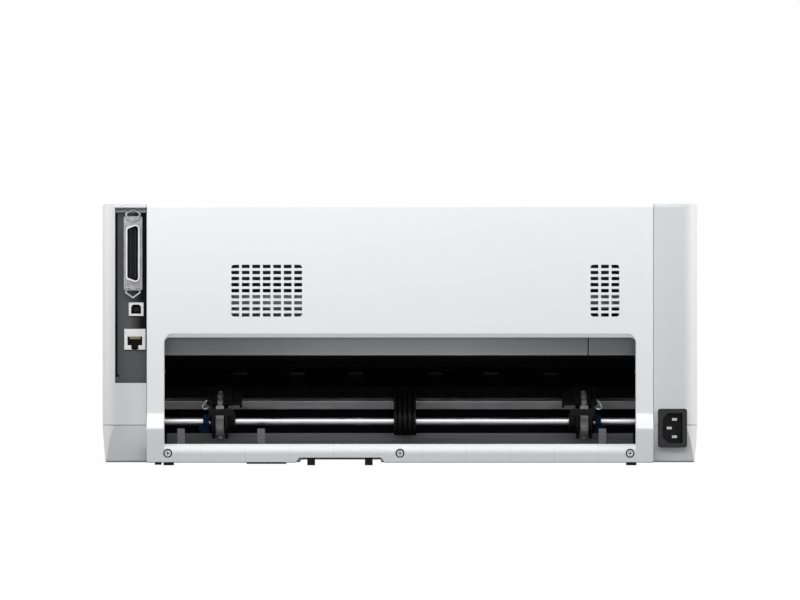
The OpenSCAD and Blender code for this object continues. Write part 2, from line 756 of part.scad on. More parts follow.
module interface_plate() {
    color("dimgray") difference() {
        intersection() {
            block([bay_w / 2 + 0.2, plate_y - plate_t, port_z0 - plate_t],
                  [port_x1 + plate_t, housing_y, port_z1 + plate_t]);
            case_form(wall);
        }
        block([bay_w / 2 - 1, plate_y, port_z0], [port_x1, rear_y, port_z1]);
        slab_xz(parallel_x - shell_w / 2 - 0.3, parallel_x + shell_w / 2 + 0.3,
                parallel_z - shell_l / 2 - 0.3, parallel_z + shell_l / 2 + 0.3, plate_y - 9, plate_y + 1, 1);
        block([usb_x - usb_w / 2 - 0.2, plate_y - 9, usb_z - usb_h / 2 - 0.2],
              [usb_x + usb_w / 2 + 0.2, plate_y + 1, usb_z + usb_h / 2 + 0.2]);
        block([net_x - net_w / 2 - 0.2, plate_y - 9, net_z - net_h / 2 - 0.2],
              [net_x + net_w / 2 + 0.2, plate_y + 1, net_z + net_h / 2 + 0.2]);
    }
}

flange_t = 1.5;
bail_r = 0.7;
bail_y = plate_y + flange_t + 2;
bail_z = parallel_l / 2 - 2.6;
bail_reach = parallel_drop - bail_z - bail_r - 0.2;
ear_w = 4.4;

// Outline of the D-shaped shell, shorter on its outer side
function shell_outline(grow) = rounded([
    [parallel_x - shell_w / 2 - grow, parallel_z - shell_l / 2 - grow, 3.5 + grow],
    [parallel_x + shell_w / 2 + grow, parallel_z - shell_l / 2 + 3.6 - grow, 2.5 + grow],
    [parallel_x + shell_w / 2 + grow, parallel_z + shell_l / 2 - 3.6 + grow, 2.5 + grow],
    [parallel_x - shell_w / 2 - grow, parallel_z + shell_l / 2 + grow, 3.5 + grow]], 4);

tongue_w = 3.4;
tongue_l = shell_l - 9;
contact_dz = 2.16;
tongue_tip = plate_y + 3.6;
shell_tip = plate_y + 7.4;

module parallel_connector() {
    color("silver") {
        difference() {
            union() {
                slab_xz(parallel_x - parallel_w / 2, parallel_x + parallel_w / 2, parallel_z - parallel_l / 2,
                        parallel_z + parallel_l / 2, plate_y, plate_y + flange_t, 1.5);
                along(shell_outline(0), plate_y + 0.5, shell_tip);
                for (z = [-1, 1]) {
                    block([parallel_x - ear_w / 2, plate_y + 1, parallel_z + z * bail_z - 1.8],
                          [parallel_x + ear_w / 2, bail_y + 1.6, parallel_z + z * bail_z + 1.8]);
                }
            }
            along(shell_outline(-shell_t), plate_y + 0.3, shell_tip + 1);
            for (z = [-1, 1]) {
                rod(parallel_x - 9, parallel_x + 9, bail_r + fit, bail_y, parallel_z + z * bail_z);
            }
        }
        slab_xz(parallel_x - shell_w / 2, parallel_x + shell_w / 2, parallel_z - shell_l / 2,
                parallel_z + shell_l / 2, plate_y - 8, plate_y + 0.4, 1);
        block([parallel_x - tongue_w / 2, plate_y, parallel_z - tongue_l / 2],
              [parallel_x + tongue_w / 2, tongue_tip, parallel_z + tongue_l / 2]);
    }
}

// Closed loop of round wire in X and Z through corner points
module wire(p, r, y) {
    for (i = [0:len(p) - 1]) {
        d = p[(i + 1) % len(p)] - p[i];
        translate([p[i].x, y, p[i].y]) {
            sphere(r + 0.04);
            rotate([0, atan2(d.x, d.y), 0]) cylinder(h = norm(d), r = r);
        }
    }
}

// Wire bail bent to a diamond that stands beyond the connector's end; s says which end
module bail_clip(s) {
    z = parallel_z + s * bail_z;
    bends = [[-3.4, 0], [3.4, 0], [5.9, 0.5 * bail_reach], [0, bail_reach], [-5.9, 0.5 * bail_reach]];
    color("silver") wire([for (p = bends) [parallel_x + p.x, z + s * p.y]], bail_r, bail_y);
}

module bail_clip_upper() {
    bail_clip(1);
}

module bail_clip_lower() {
    bail_clip(-1);
}

module data_ports() {
    color("white") {
        difference() {
            block([usb_x - usb_w / 2, plate_y - 13, usb_z - usb_h / 2],
                  [usb_x + usb_w / 2, plate_y + 1.2, usb_z + usb_h / 2]);
            along([[usb_x - 4, usb_z - 3.7], [usb_x + 4, usb_z - 3.7], [usb_x + 4, usb_z + 1.9],
                   [usb_x + 2.3, usb_z + 3.7], [usb_x - 2.3, usb_z + 3.7], [usb_x - 4, usb_z + 1.9]],
                  plate_y - 10, plate_y + 2);
        }
        block([usb_x - 2.8, plate_y - 11, usb_z - 1.6], [usb_x + 2.8, plate_y - 3, usb_z + 1.6]);
        difference() {
            block([net_x - net_w / 2, plate_y - 14, net_z - net_h / 2],
                  [net_x + net_w / 2, plate_y + 1.2, net_z + net_h / 2]);
            along([[net_x - 5.9, net_z - 4.8], [net_x - 2.9, net_z - 4.8], [net_x - 2.9, net_z - 8],
                   [net_x + 2.9, net_z - 8], [net_x + 2.9, net_z - 4.8], [net_x + 5.9, net_z - 4.8],
                   [net_x + 5.9, net_z + 2.2], [net_x - 5.9, net_z + 2.2]], plate_y - 11, plate_y + 2);
            block([net_x - 2, plate_y - 11, net_z - 9], [net_x + 2, plate_y + 2, net_z - 7]);
        }
    }
}

inlet_x = inlet_inset - body_w / 2;
inlet_w = 23.4;
inlet_h = 31.2;
inlet_body_w = 19.6;
inlet_body_h = 27;
inlet_cavity_w = 16;
inlet_cavity_h = 24;
inlet_depth = 21;

// Room for the inlet's body in both halves of the case
module inlet_hole() {
    block([inlet_x - inlet_body_w / 2 - 0.2, housing_y - inlet_depth, inlet_z - inlet_body_h / 2 - 0.2],
          [inlet_x + inlet_body_w / 2 + 0.2, rear_y, inlet_z + inlet_body_h / 2 + 0.2]);
}

function inlet_outline(w, h, cut) = [
    [inlet_x - w / 2, inlet_z - h / 2], [inlet_x + w / 2 - cut, inlet_z - h / 2],
    [inlet_x + w / 2, inlet_z - h / 2 + cut], [inlet_x + w / 2, inlet_z + h / 2 - cut],
    [inlet_x + w / 2 - cut, inlet_z + h / 2], [inlet_x - w / 2, inlet_z + h / 2]];

module power_inlet() {
    color("black") difference() {
        union() {
            slab_xz(inlet_x - inlet_w / 2, inlet_x + inlet_w / 2,
                    inlet_z - inlet_h / 2, inlet_z + inlet_h / 2, housing_y, housing_y + 2, 2);
            block([inlet_x - inlet_body_w / 2, housing_y - inlet_depth, inlet_z - inlet_body_h / 2],
                  [inlet_x + inlet_body_w / 2, housing_y + 1, inlet_z + inlet_body_h / 2]);
        }
        along(inlet_outline(inlet_cavity_w, inlet_cavity_h, 4.5), housing_y - inlet_depth + 3, housing_y + 3);
    }
}

// Blades of the mains inlet and the contact rows of the two sockets
module port_contacts() {
    color("gold") {
        for (p = [[-1.8, 7], [2.4, 0], [-1.8, -7]]) {
            block([inlet_x + p.x - 2, housing_y - inlet_depth + 3, inlet_z + p.y - 1],
                  [inlet_x + p.x + 2, housing_y - 3, inlet_z + p.y + 1]);
        }
        for (k = [-3.5:3.5]) {
            x = net_x + k * 1.1;
            block([x - 0.25, plate_y - 11, net_z + 0.2], [x + 0.25, plate_y - 2, net_z + 2.2]);
        }
        for (s = [-1, 1], k = [-8.5:8.5]) {
            x = parallel_x + s * (tongue_w / 2 + 0.25);
            z = parallel_z + k * contact_dz;
            block([x - 0.25, plate_y + 0.4, z - 0.5], [x + 0.25, tongue_tip - 0.4, z + 0.5]);
        }
    }
}

module circuit_boards() {
    color("darkgreen") {
        block([board_x, board_y0, port_z0 + 2], [board_x + board_t, board_y1, body_h - 14]);
        block([board_x - 5, board_y0 + 20, 100], [board_x, board_y0 + 46, 126]);
        block([board_x - 8, board_y0 + 70, 120], [board_x, board_y0 + 90, 150]);
        block([supply_x - board_t, supply_y, 44], [supply_x, supply_y + 170, 146]);
        block([supply_x, supply_y + 20, 56], [supply_x + 13, supply_y + 60, 100]);
        for (y = [90, 112]) translate([supply_x, supply_y + y, 90]) rotate([0, 90, 0]) cylinder(h = 13, r = 9);
        block([supply_x, supply_y + 136, 60], [supply_x + 6, supply_y + 156, 120]);
    }
}

// ---------- control panel ----------

panel_gap = 0.4;
panel_top = 0.2;
panel_floor = -wall - 1.5;
button_h = button_travel + 0.4 - panel_floor;
button_y = -5;
panel_x = cover_w / 2 - panel_inset;
power_x = panel_x - panel_w / 2 + 17;

function button_x(i) = panel_x + panel_w / 2 - 17 - (3 - i) * button_dx;

// Outline of a wide push button, grown by a clearance
function button_outline(grow) = rounded([
    [-8 - grow, -4.5 - grow, 3], [8 + grow, -4.5 - grow, 3],
    [8 + grow, 4.5 + grow, 3], [-8 - grow, 4.5 + grow, 3]], 5);

module control_panel() {
    color("lightgray") on_brow() difference() {
        union() {
            translate([panel_x, 0, panel_floor]) linear_extrude(panel_top - panel_floor)
                square([panel_w - 2 * panel_gap, panel_h - 2 * panel_gap], center = true);
            translate([panel_x, 0, panel_floor]) linear_extrude(1.2)
                square([panel_w + 6, panel_h + 5], center = true);
        }
        translate([power_x, button_y, panel_floor - 1]) cylinder(h = 9, r = 6.3);
        for (i = [1:3]) {
            translate([button_x(i), button_y, panel_floor - 1])
                linear_extrude(9) polygon(button_outline(0.3));
            translate([button_x(i), 9, panel_top - 0.6]) cylinder(h = 2, r = 1.4);
        }
        translate([power_x, 9, panel_top - 0.6]) cylinder(h = 2, r = 1.4);
    }
}

module power_button() {
    color("slategray") on_brow() translate([power_x, button_y, panel_floor])
        cylinder(h = button_h, r = 6);
}

module panel_button(i) {
    color("slategray") on_brow() translate([button_x(i), button_y, panel_floor])
        linear_extrude(button_h) polygon(button_outline(0));
}

module panel_button_1() {
    panel_button(1);
}

module panel_button_2() {
    panel_button(2);
}

module panel_button_3() {
    panel_button(3);
}

// ---------- chassis ----------

frame_out = frame_x + frame_t;
frame_top = rail_z + 32;
gear_x = frame_out + 1.5;

// Flat chassis with an upright ledge behind the sill and three cranked posts at the back
module base_frame() {
    back_y = housing_y - wall - base_slant - 0.4;
    front = front_y + 35;
    ledge_x = frame_x - 4;
    ledge_y = drive_y + 16;
    post_y = housing_y - wall - 0.1;
    color("gray") {
        difference() {
            union() {
                block([-frame_out - 3, front, chassis_z], [frame_out + 3, back_y, chassis_top]);
                block([-ledge_x, ledge_y, chassis_z], [ledge_x, ledge_y + chassis_t, opening_z0 + 8.1]);
                block([-ledge_x, front, chassis_z], [ledge_x, front + chassis_t, 26]);
            }
            for (x = [-120:60:120]) block([x - 18, front + 30, 0], [x + 18, front + 90, 40]);
        }
        for (x = [-0.86, 0.59, 0.93]) translate([x * opening_w / 2, 0, 0]) {
            block([-3, back_y - chassis_t, chassis_top - 0.1], [3, back_y, crank_z]);
            block([-3, back_y - chassis_t, crank_z - chassis_t], [3, post_y, crank_z]);
            block([-3, post_y - chassis_t, crank_z - chassis_t], [3, post_y, opening_z0 + 12.3]);
        }
    }
}

crank_z = opening_z0 - 0.8;

// Place at distance ra from a and rb from b, on the lower side of the line between them
function below(a, ra, b, rb) =
    let(d = norm(b - a), u = (b - a) / d, s = (ra * ra - rb * rb + d * d) / (2 * d))
    a + u * s - [-u.y, u.x] * sqrt(ra * ra - s * s);

platen_at = [platen_y, platen_z];
feed_at = [feed_y, feed_z];
drive_at = [drive_y, drive_z];
guide_at = [guide_y, guide_z];
rail_at = [rail_y, rail_z];
front_gear_at = below(platen_at, gear_m * (platen_teeth + front_teeth) / 2,
                      feed_at, gear_m * (front_teeth + feed_teeth) / 2);
rear_gear_at = below(feed_at, gear_m * (feed_teeth + rear_teeth) / 2,
                     drive_at, gear_m * (rear_teeth + tractor_teeth) / 2);
pinion_at = front_gear_at + gear_m * (front_teeth + pinion_teeth) / 2 * [cos(225), sin(225)];
stub_r = 3;
motor_shaft_r = 2;
journal_r = drive_side / 2 - 0.1;

module side_frame(s) {
    x0 = s > 0 ? frame_x : -frame_out;
    front = max(rail_y - 74, front_y + 37);
    difference() {
        across(rounded([[front, chassis_top, 0], [guide_y + 9, chassis_top, 0],
                        [guide_y + 9, guide_z + 22, 10], [feed_y + 30, feed_z + 34, 14],
                        [feed_y + 24, frame_top, 8], [rail_y - 30, frame_top, 16],
                        [rail_y - 42, rail_z - 20, 12], [front, 60, 8]], 6), x0, x0 + frame_t);
        rod(x0 - 1, x0 + 9, platen_shaft_r + fit, platen_at.x, platen_at.y);
        rod(x0 - 1, x0 + 9, feed_shaft_r + fit, feed_at.x, feed_at.y);
        rod(x0 - 1, x0 + 9, journal_r + fit, drive_at.x, drive_at.y);
        rod(x0 - 1, x0 + 9, guide_r + fit, guide_at.x, guide_at.y);
        rod(x0 - 1, x0 + 9, rail_r + fit, rail_at.x, rail_at.y);
        rod(x0 - 1, x0 + 9, 6, pinion_at.x, pinion_at.y);
    }
}

// The two upright plates; the one on the gear side carries the stub axles of the transfer gears
module side_frames() {
    color("darkgray") {
        side_frame(-1);
        side_frame(1);
        for (p = [front_gear_at, rear_gear_at]) rod(frame_out - 0.2, gear_x + gear_w + 0.6, stub_r, p.x, p.y);
    }
}

module front_paper_bed() {
    color("darkslategray") {
        block([end_gap - frame_x, front_y + 17, bed_top - 2],
              [frame_x - end_gap, platen_y - platen_r - 3, bed_top]);
        block([-door_w / 2 + 3, chin_y - 0.5, bed_top - 2], [door_w / 2 - 3, front_y + 18, bed_top]);
        for (x = [-160:40:160]) {
            block([x - 1, front_y + 25, bed_top - 9], [x + 1, platen_y - platen_r - 10, bed_top - 1]);
        }
    }
}

bed_top = platen_z + platen_r - 1.5;
feed_places = [131, 84, 36, -29, -75, -124];
guide_back_y = drive_y - belt_r - 5.2;
lip_z = 62.6;

// Lower guide from the tractors over the feed rollers to the platen, ribbed on its rear edge
module rear_paper_guide() {
    roller_gap = feed_w / 2 + 0.8;
    feed_top = feed_z + feed_r;
    color([0.13, 0.13, 0.14]) {
        difference() {
            across(sheet([[guide_back_y, chassis_top + 4], [guide_back_y, lip_z],
                          [feed_y + 10, feed_top - 2], [feed_y - 12, feed_top - 0.5],
                          [platen_y + platen_r + 3, bed_top - 1]], 2), end_gap - frame_x, frame_x - end_gap);
            for (x = feed_places) {
                block([x - roller_gap, feed_y - feed_r - 2.4, feed_z - 4],
                      [x + roller_gap, feed_y + feed_r + 2.4, feed_z + 20]);
            }
        }
        for (i = [0:len(feed_places) - 1]) {
            rib(feed_places[i] - 11);
            rib(feed_places[i] + 11);
            if (i > 0) rib((feed_places[i] + feed_places[i - 1]) / 2);
        }
    }
}

module rib(x) {
    across([[guide_back_y - 1, lip_z - 8.4], [guide_back_y + 2.6, lip_z - 8.4],
            [guide_back_y + 2.6, lip_z - 1], [guide_back_y - 1, lip_z]], x - 0.8, x + 0.8);
}

// Upper guide: upright panel across the opening, then a sheet over the tractors and the feed rollers
module upper_paper_guide() {
    color([0.3, 0.3, 0.31]) difference() {
        across(sheet([[guide_y + 3, opening_z1 + 6], [guide_y + 3, opening_z1 - 14], [guide_y - 50, 82.4],
                      [feed_y + 13, feed_z + feed_r + 2.6], [feed_y - 13, feed_z + feed_r + 3.4],
                      [platen_y + platen_r + 32, platen_z + 7]], -1.2), end_gap - frame_x, frame_x - end_gap);
        for (x = feed_places) {
            block([x - feed_w / 2 - 0.6, feed_y - 6, feed_z + feed_r],
                  [x + feed_w / 2 + 0.6, feed_y + 6, feed_z + 24]);
        }
    }
}

// ---------- shafts and rollers ----------

feed_w = 12;
roller_l = 2 * (frame_x - 24);

module platen_roller() {
    color("dimgray") difference() {
        rod(-roller_l / 2, roller_l / 2, platen_r, platen_at.x, platen_at.y);
        rod(-roller_l / 2 - 1, roller_l / 2 + 1, platen_shaft_r, platen_at.x, platen_at.y);
    }
}

module platen_shaft() {
    color("silver") rod(-frame_out - 2, gear_x + gear_w, platen_shaft_r, platen_at.x, platen_at.y);
}

module feed_roller_shaft() {
    color("silver") rod(-frame_out - 2, gear_x, feed_shaft_r, feed_at.x, feed_at.y);
    color("ivory") gear(feed_teeth, feed_at, feed_phase, 0);
}

module feed_rollers() {
    color("dimgray") for (x = feed_places) difference() {
        rod(x - feed_w / 2, x + feed_w / 2, feed_r, feed_at.x, feed_at.y);
        rod(x - feed_w, x + feed_w, feed_shaft_r, feed_at.x, feed_at.y);
    }
}

// ---------- gears ----------

// Outline of a spur gear with straight-flanked teeth, the first tooth at angle phase
function gear_outline(teeth, phase) = [for (i = [0:teeth - 1])
    let(r0 = gear_m * (teeth / 2 - 1.2), r1 = gear_m * (teeth / 2 + 0.8), a = phase + 360 * i / teeth)
    each [for (k = [[r0, -0.31], [r1, -0.1], [r1, 0.1], [r0, 0.31]])
        k[0] * [cos(a + 360 * k[1] / teeth), sin(a + 360 * k[1] / teeth)]]];

// Phase of a gear that meshes with another one, whose phase and place are known
function meshed(phase, teeth, from, to, new_teeth) =
    let(line = atan2(to.y - from.y, to.x - from.x))
    line + 180 + 180 / new_teeth - (phase - line) * teeth / new_teeth;

front_phase = meshed(0, platen_teeth, platen_at, front_gear_at, front_teeth);
feed_phase = meshed(front_phase, front_teeth, front_gear_at, feed_at, feed_teeth);
pinion_phase = meshed(front_phase, front_teeth, front_gear_at, pinion_at, pinion_teeth);
rear_phase = meshed(feed_phase, feed_teeth, feed_at, rear_gear_at, rear_teeth);
tractor_phase = meshed(rear_phase, rear_teeth, rear_gear_at, drive_at, tractor_teeth);

module gear(teeth, at, phase, bore_r) {
    size = gear_m * teeth;
    translate([gear_x, at.x, at.y]) rotate([90, 0, 90]) difference() {
        linear_extrude(gear_w) polygon(gear_outline(teeth, phase));
        if (bore_r > 0) translate([0, 0, -1]) cylinder(h = gear_w + 2, r = bore_r);
        if (teeth > 30) for (a = [0:60:300]) {
            rotate(a) translate([0.29 * size, 0, -1]) cylinder(h = gear_w + 2, r = 0.1 * size);
        }
    }
}

module platen_gear() {
    color("ivory") gear(platen_teeth, platen_at, 0, platen_shaft_r);
}

module transfer_gear_front() {
    color("ivory") gear(front_teeth, front_gear_at, front_phase, stub_r + fit);
}

module transfer_gear_rear() {
    color("ivory") gear(rear_teeth, rear_gear_at, rear_phase, stub_r + fit);
}

module motor_pinion() {
    color("ivory") gear(pinion_teeth, pinion_at, pinion_phase, motor_shaft_r + fit);
}

module tractor_drive_shaft() {
    color("silver") translate([0, drive_at.x, drive_at.y]) rotate([drive_turn, 0, 0]) {
        block([end_gap - frame_x, -drive_side / 2, -drive_side / 2],
              [frame_x - end_gap, drive_side / 2, drive_side / 2]);
        rotate([-drive_turn, 0, 0]) rod(-frame_out - 1.5, gear_x, journal_r, 0, 0);
    }
    color("ivory") gear(tractor_teeth, drive_at, tractor_phase, 0);
}

module guide_shaft() {
    color("silver") rod(-frame_out - 1, frame_out + 1, guide_r, guide_at.x, guide_at.y);
}

// ---------- carriage and print head ----------

pulley_x = frame_x - pulley_inset;
carriage_travel = pulley_x - carriage_stop;
// The rail's web, the flat plate over the carriage
web_z = rail_z + 18;
web_y0 = platen_y + 42;
web_y1 = web_y0 + 44;
belt_y = web_y0 + 21;
belt_z = web_z + 4.2;
belt_h = 6;
drive_belt_t = 1.4;
head_w = 36;
nose_z = platen_z + platen_r + 1.9;

module carriage_shaft() {
    color("silver") rod(-frame_out - 1.5, frame_out + 1, rail_r, rail_at.x, rail_at.y);
}

module carriage_rail() {
    end = frame_x - end_gap;
    color("darkgray") difference() {
        union() {
            block([-end, web_y0, web_z], [end, web_y1, web_z + 2]);
            block([-end, web_y0 - 2, web_z - 12], [end, web_y0, web_z + 2]);
            block([-end, web_y1 - 2, web_z - 9], [end, web_y1, web_z + 2]);
        }
        for (s = [-1, 1]) translate([s * pulley_x, belt_y, web_z - 9]) cylinder(h = 20, r = 5.2);
    }
}

module motor_body(h) {
    cylinder(h = h, r = motor_r);
    translate([0, 0, h]) cylinder(h = 1.5, r = 5);
}

// Carriage motor under the rail, feed motor on the gear side and a post for the far pulley
module motors() {
    color("dimgray") {
        translate([-pulley_x, belt_y, web_z - 32.3]) motor_body(32);
        translate([-pulley_x, belt_y, web_z - 1]) cylinder(h = 11.5, r = motor_shaft_r);
        translate([pulley_x, belt_y, web_z - 6]) cylinder(h = 8, r = 5);
        translate([pulley_x, belt_y, web_z + 1]) cylinder(h = 9.5, r = motor_shaft_r);
        translate([frame_x - end_gap - 33, pinion_at.x, pinion_at.y]) rotate([0, 90, 0]) motor_body(33);
        rod(frame_x, gear_x + gear_w, motor_shaft_r, pinion_at.x, pinion_at.y);
    }
}

// Toothed pulley between two flanges
module belt_pulley(x) {
    color("ivory") translate([x, belt_y, 0]) difference() {
        union() {
            translate([0, 0, belt_z - 0.9]) cylinder(h = belt_h + 1.8, r = pulley_r - 0.5);
            translate([0, 0, belt_z]) linear_extrude(belt_h)
                polygon([for (k = [0:71]) (pulley_r - 0.6 * (floor(k / 2) % 2)) * [cos(k * 5), sin(k * 5)]]);
            for (z = [-1.3, belt_h + 0.3]) translate([0, 0, belt_z + z]) cylinder(h = 1, r = pulley_r + 1.6);
        }
        translate([0, 0, belt_z - 9]) cylinder(h = 30, r = motor_shaft_r + fit);
    }
}

module drive_pulley() {
    belt_pulley(-pulley_x);
}

module idler_pulley() {
    belt_pulley(pulley_x);
}

module timing_belt() {
    r = pulley_r + 0.3;
    color("black") translate([pulley_x, belt_y, belt_z]) difference() {
        linear_extrude(belt_h) polygon(loop_outline(r + drive_belt_t, 2 * pulley_x));
        translate([0, 0, -1]) linear_extrude(belt_h + 2) polygon(loop_outline(r, 2 * pulley_x));
    }
}

clip_y = belt_y - pulley_r - 0.3 - drive_belt_t / 2;

module carriage() {
    color([0.2, 0.2, 0.21]) difference() {
        union() {
            across(rounded([[rail_y - 13, rail_z - 15, 3], [web_y0 - 5, rail_z - 15, 3],
                            [web_y0 - 5, web_z + 2, 2], [web_y0 - 11, web_z + 2, 2],
                            [web_y0 - 11, rail_z - 11, 2], [rail_y + 12, rail_z - 11, 2],
                            [rail_y + 12, rail_z + 10, 8], [rail_y - 13, rail_z + 10, 8]], 5), -26, 26);
            block([-26, web_y0 - 11, web_z + 1], [26, web_y0 - 3, web_z + 6]);
            block([-10, web_y0 - 6, web_z + 2.3], [10, belt_y - 2, web_z + 3.9]);
            block([-7, clip_y - 3, web_z + 2.3], [7, clip_y + 3, belt_z + belt_h - 0.5]);
        }
        rod(-30, 30, rail_r + fit, rail_at.x, rail_at.y);
        block([-30, clip_y - drive_belt_t / 2 - 0.3, belt_z - 0.3],
              [30, clip_y + drive_belt_t / 2 + 0.3, belt_z + 20]);
        block([-9.3, platen_y - 9.3, 0], [9.3, platen_y + 9.3, rail_z]);
    }
}

module print_head() {
    color("dimgray") {
        block([-9, platen_y - 9, nose_z + 6], [9, platen_y + 9, rail_z - 10]);
        block([-7, platen_y - 7, nose_z], [7, platen_y + 7, nose_z + 6.5]);
        block([-head_w / 2, platen_y - 20, rail_z - 11], [head_w / 2, platen_y + 20, rail_z - 3]);
        translate([0, platen_y, rail_z - 4]) cylinder(h = 30, r = 14);
        for (k = [0:5]) {
            translate([0, platen_y, rail_z + 2 + k * 4.4]) cylinder(h = 1.6, r = 18.5);
        }
    }
}

// ---------- ribbon cartridge ----------

cartridge_w = 2 * frame_out - 6;
cartridge_z = frame_top + 1;
ribbon_z = platen_z + platen_r + 1;
arm_x = frame_x - 24;
arm_w = 12;
knob_x = 73 - frame_x;
knob_y = web_y0 + 28;

module ribbon_cartridge() {
    body_x = cartridge_w / 2 - 12;
    color("black") {
        difference() {
            translate([0, 0, cartridge_z]) linear_extrude(15) polygon(rounded([
                [-body_x, web_y0 + 2, 8], [body_x, web_y0 + 2, 8],
                [body_x, web_y1 + 10, 8], [-body_x, web_y1 + 10, 8]], 5));
            translate([knob_x, knob_y, cartridge_z + 6]) cylinder(h = 20, r = 4.3);
        }
        for (s = [-1, 1]) {
            across(rounded([[platen_y + 20, cartridge_z + 1, 6], [web_y0 + 12, cartridge_z + 1, 0],
                            [web_y0 + 12, cartridge_z + 14, 0], [platen_y - 8, cartridge_z + 14, 10],
                            [platen_y - 8, ribbon_z - 0.4, 2], [platen_y + 8, ribbon_z - 0.4, 2],
                            [platen_y + 20, ribbon_z + 24, 8]], 5),
                   s * (arm_x + arm_w / 2) - arm_w / 2, s * (arm_x + arm_w / 2) + arm_w / 2);
            block([s * (cartridge_w / 2 - 7) - 6, web_y0 + 20, cartridge_z - 0.7],
                  [s * (cartridge_w / 2 - 7) + 6, web_y1 - 4, cartridge_z + 5]);
        }
        block([-arm_x - 1, platen_y - 6.3, ribbon_z], [arm_x + 1, platen_y + 6.3, ribbon_z + 0.4]);
    }
}

module ribbon_knob() {
    color("dimgray") translate([knob_x, knob_y, 0]) {
        translate([0, 0, cartridge_z + 6.3]) cylinder(h = 10, r = 4.2);
        translate([0, 0, cartridge_z + 15.3]) linear_extrude(8)
            polygon([for (k = [0:71]) (9 - 0.7 * (floor(k / 2) % 2)) * [cos(k * 5), sin(k * 5)]]);
    }
}

// ---------- tractors ----------

tractor_left_x = cover_w / 2 - left_inset;
tractor_right_x = right_inset - cover_w / 2;
tractor_span = norm(guide_at - drive_at);
tractor_tilt = atan2(drive_z - guide_z, guide_y - drive_y);
plate_in = belt_w / 2 + 0.8;
tractor_plate_t = 2.4;
plate_out = plate_in + tractor_plate_t;
hub_r = drive_side * 0.5 * sqrt(2) + 1.3;
flap_hinge_s = plate_out + 2.2;
flap_v = belt_r + 1.5;
lever_s = plate_out + 2.5;
flap_y0 = -4;
flap_y1 = -38;
flap_in = plate_out + 11.2;
flap_slot = 2.4;

// Frame of a tractor: X across with + outwards, -Y towards the drive shaft, Z out of the paper path
module tractor(x, side) {
    translate([x, guide_y, guide_z]) rotate([-tractor_tilt, 0, 0]) mirror([(1 - side) / 2, 0, 0]) children();
}

module stadium(x0, x1, r) {
    translate([x0, 0, 0]) rotate([90, 0, 90]) linear_extrude(x1 - x0) polygon(loop_outline(r, tractor_span));
}

module tractor_frame() {
    color([0.16, 0.16, 0.17]) difference() {
        union() {
            for (s = [-1, 1]) {
                stadium(s > 0 ? plate_in : -plate_out, s > 0 ? plate_out : -plate_in, belt_r - belt_t - 0.4);
                across([[-6, 1], [belt_r - 2, 4], [belt_r + 4.8, 11.6], [belt_r + 4.8, 16.4],
                        [belt_r + 2.6, 16.4], [-6, 8]], s * (plate_out + 1) - 1.2, s * (plate_out + 1) + 1.2);
                block([s * (plate_out - 1.2) - 1.2, -3, -13.6], [s * (plate_out - 1.2) + 1.2, 3, -8]);
            }
            block([-plate_out - 5.2, belt_r + 2.6, 11.6], [plate_out + 2.2, belt_r + 4.8, 16.4]);
            rod(-plate_out - 6, plate_out + 1, 5.6, 0, 0);
            for (k = [0:3]) rod(-plate_out - 5.9 + k * 1.6, -plate_out - 5.1 + k * 1.6, 7.4, 0, 0);
            block([-plate_in - 1, -tractor_span + 14, -5], [plate_in + 1, -13, 5]);
            block([plate_out - 1, flap_y1 + 1, belt_r - 6], [plate_out + 1.2, flap_y1 + 6, flap_v + 1]);
            block([plate_out - 1, flap_y0 - 6, belt_r - 6], [plate_out + 1.2, flap_y0 - 1, flap_v + 1]);
            for (y = [flap_y1 + 1, flap_y0 - 6]) {
                translate([flap_hinge_s, y, flap_v]) rotate([-90, 0, 0]) cylinder(h = 5, r = 2);
            }
        }
        rod(-30, 30, guide_r + fit, 0, 0);
        rod(-30, 30, hub_r + fit, -tractor_span, 0);
        for (y = [flap_y1, flap_y0 - 7]) {
            translate([flap_hinge_s, y, flap_v]) rotate([-90, 0, 0]) cylinder(h = 7, r = 0.9 + fit);
        }
    }
}

// Place and direction at distance d along the belt's loop, as [y, z, angle of the outward normal]
function on_loop(d) =
    let(r = belt_r - 0.3, bend = PI * r, way = d % (2 * (bend + tractor_span)))
    way < tractor_span ? [-way, r, 90] :
    way < tractor_span + bend
        ? let(a = 90 + 180 * (way - tractor_span) / bend) [-tractor_span + r * cos(a), r * sin(a), a] :
    way < 2 * tractor_span + bend ? [-tractor_span + (way - tractor_span - bend), -r, 270] :
    let(a = 270 + 180 * (way - 2 * tractor_span - bend) / bend) [r * cos(a), r * sin(a), a];

belt_length = 2 * (PI * (belt_r - 0.3) + tractor_span);

module tractor_belt() {
    color("gainsboro") {
        difference() {
            stadium(-belt_w / 2, belt_w / 2, belt_r);
            stadium(-belt_w, belt_w, belt_r - belt_t);
        }
        for (i = [0:belt_pins - 1]) {
            p = on_loop((i + 0.5) * belt_length / belt_pins);
            translate([0, p[0], p[1]]) rotate([p[2] - 90, 0, 0]) cylinder(h = 2.3, r = 1.9);
        }
    }
}

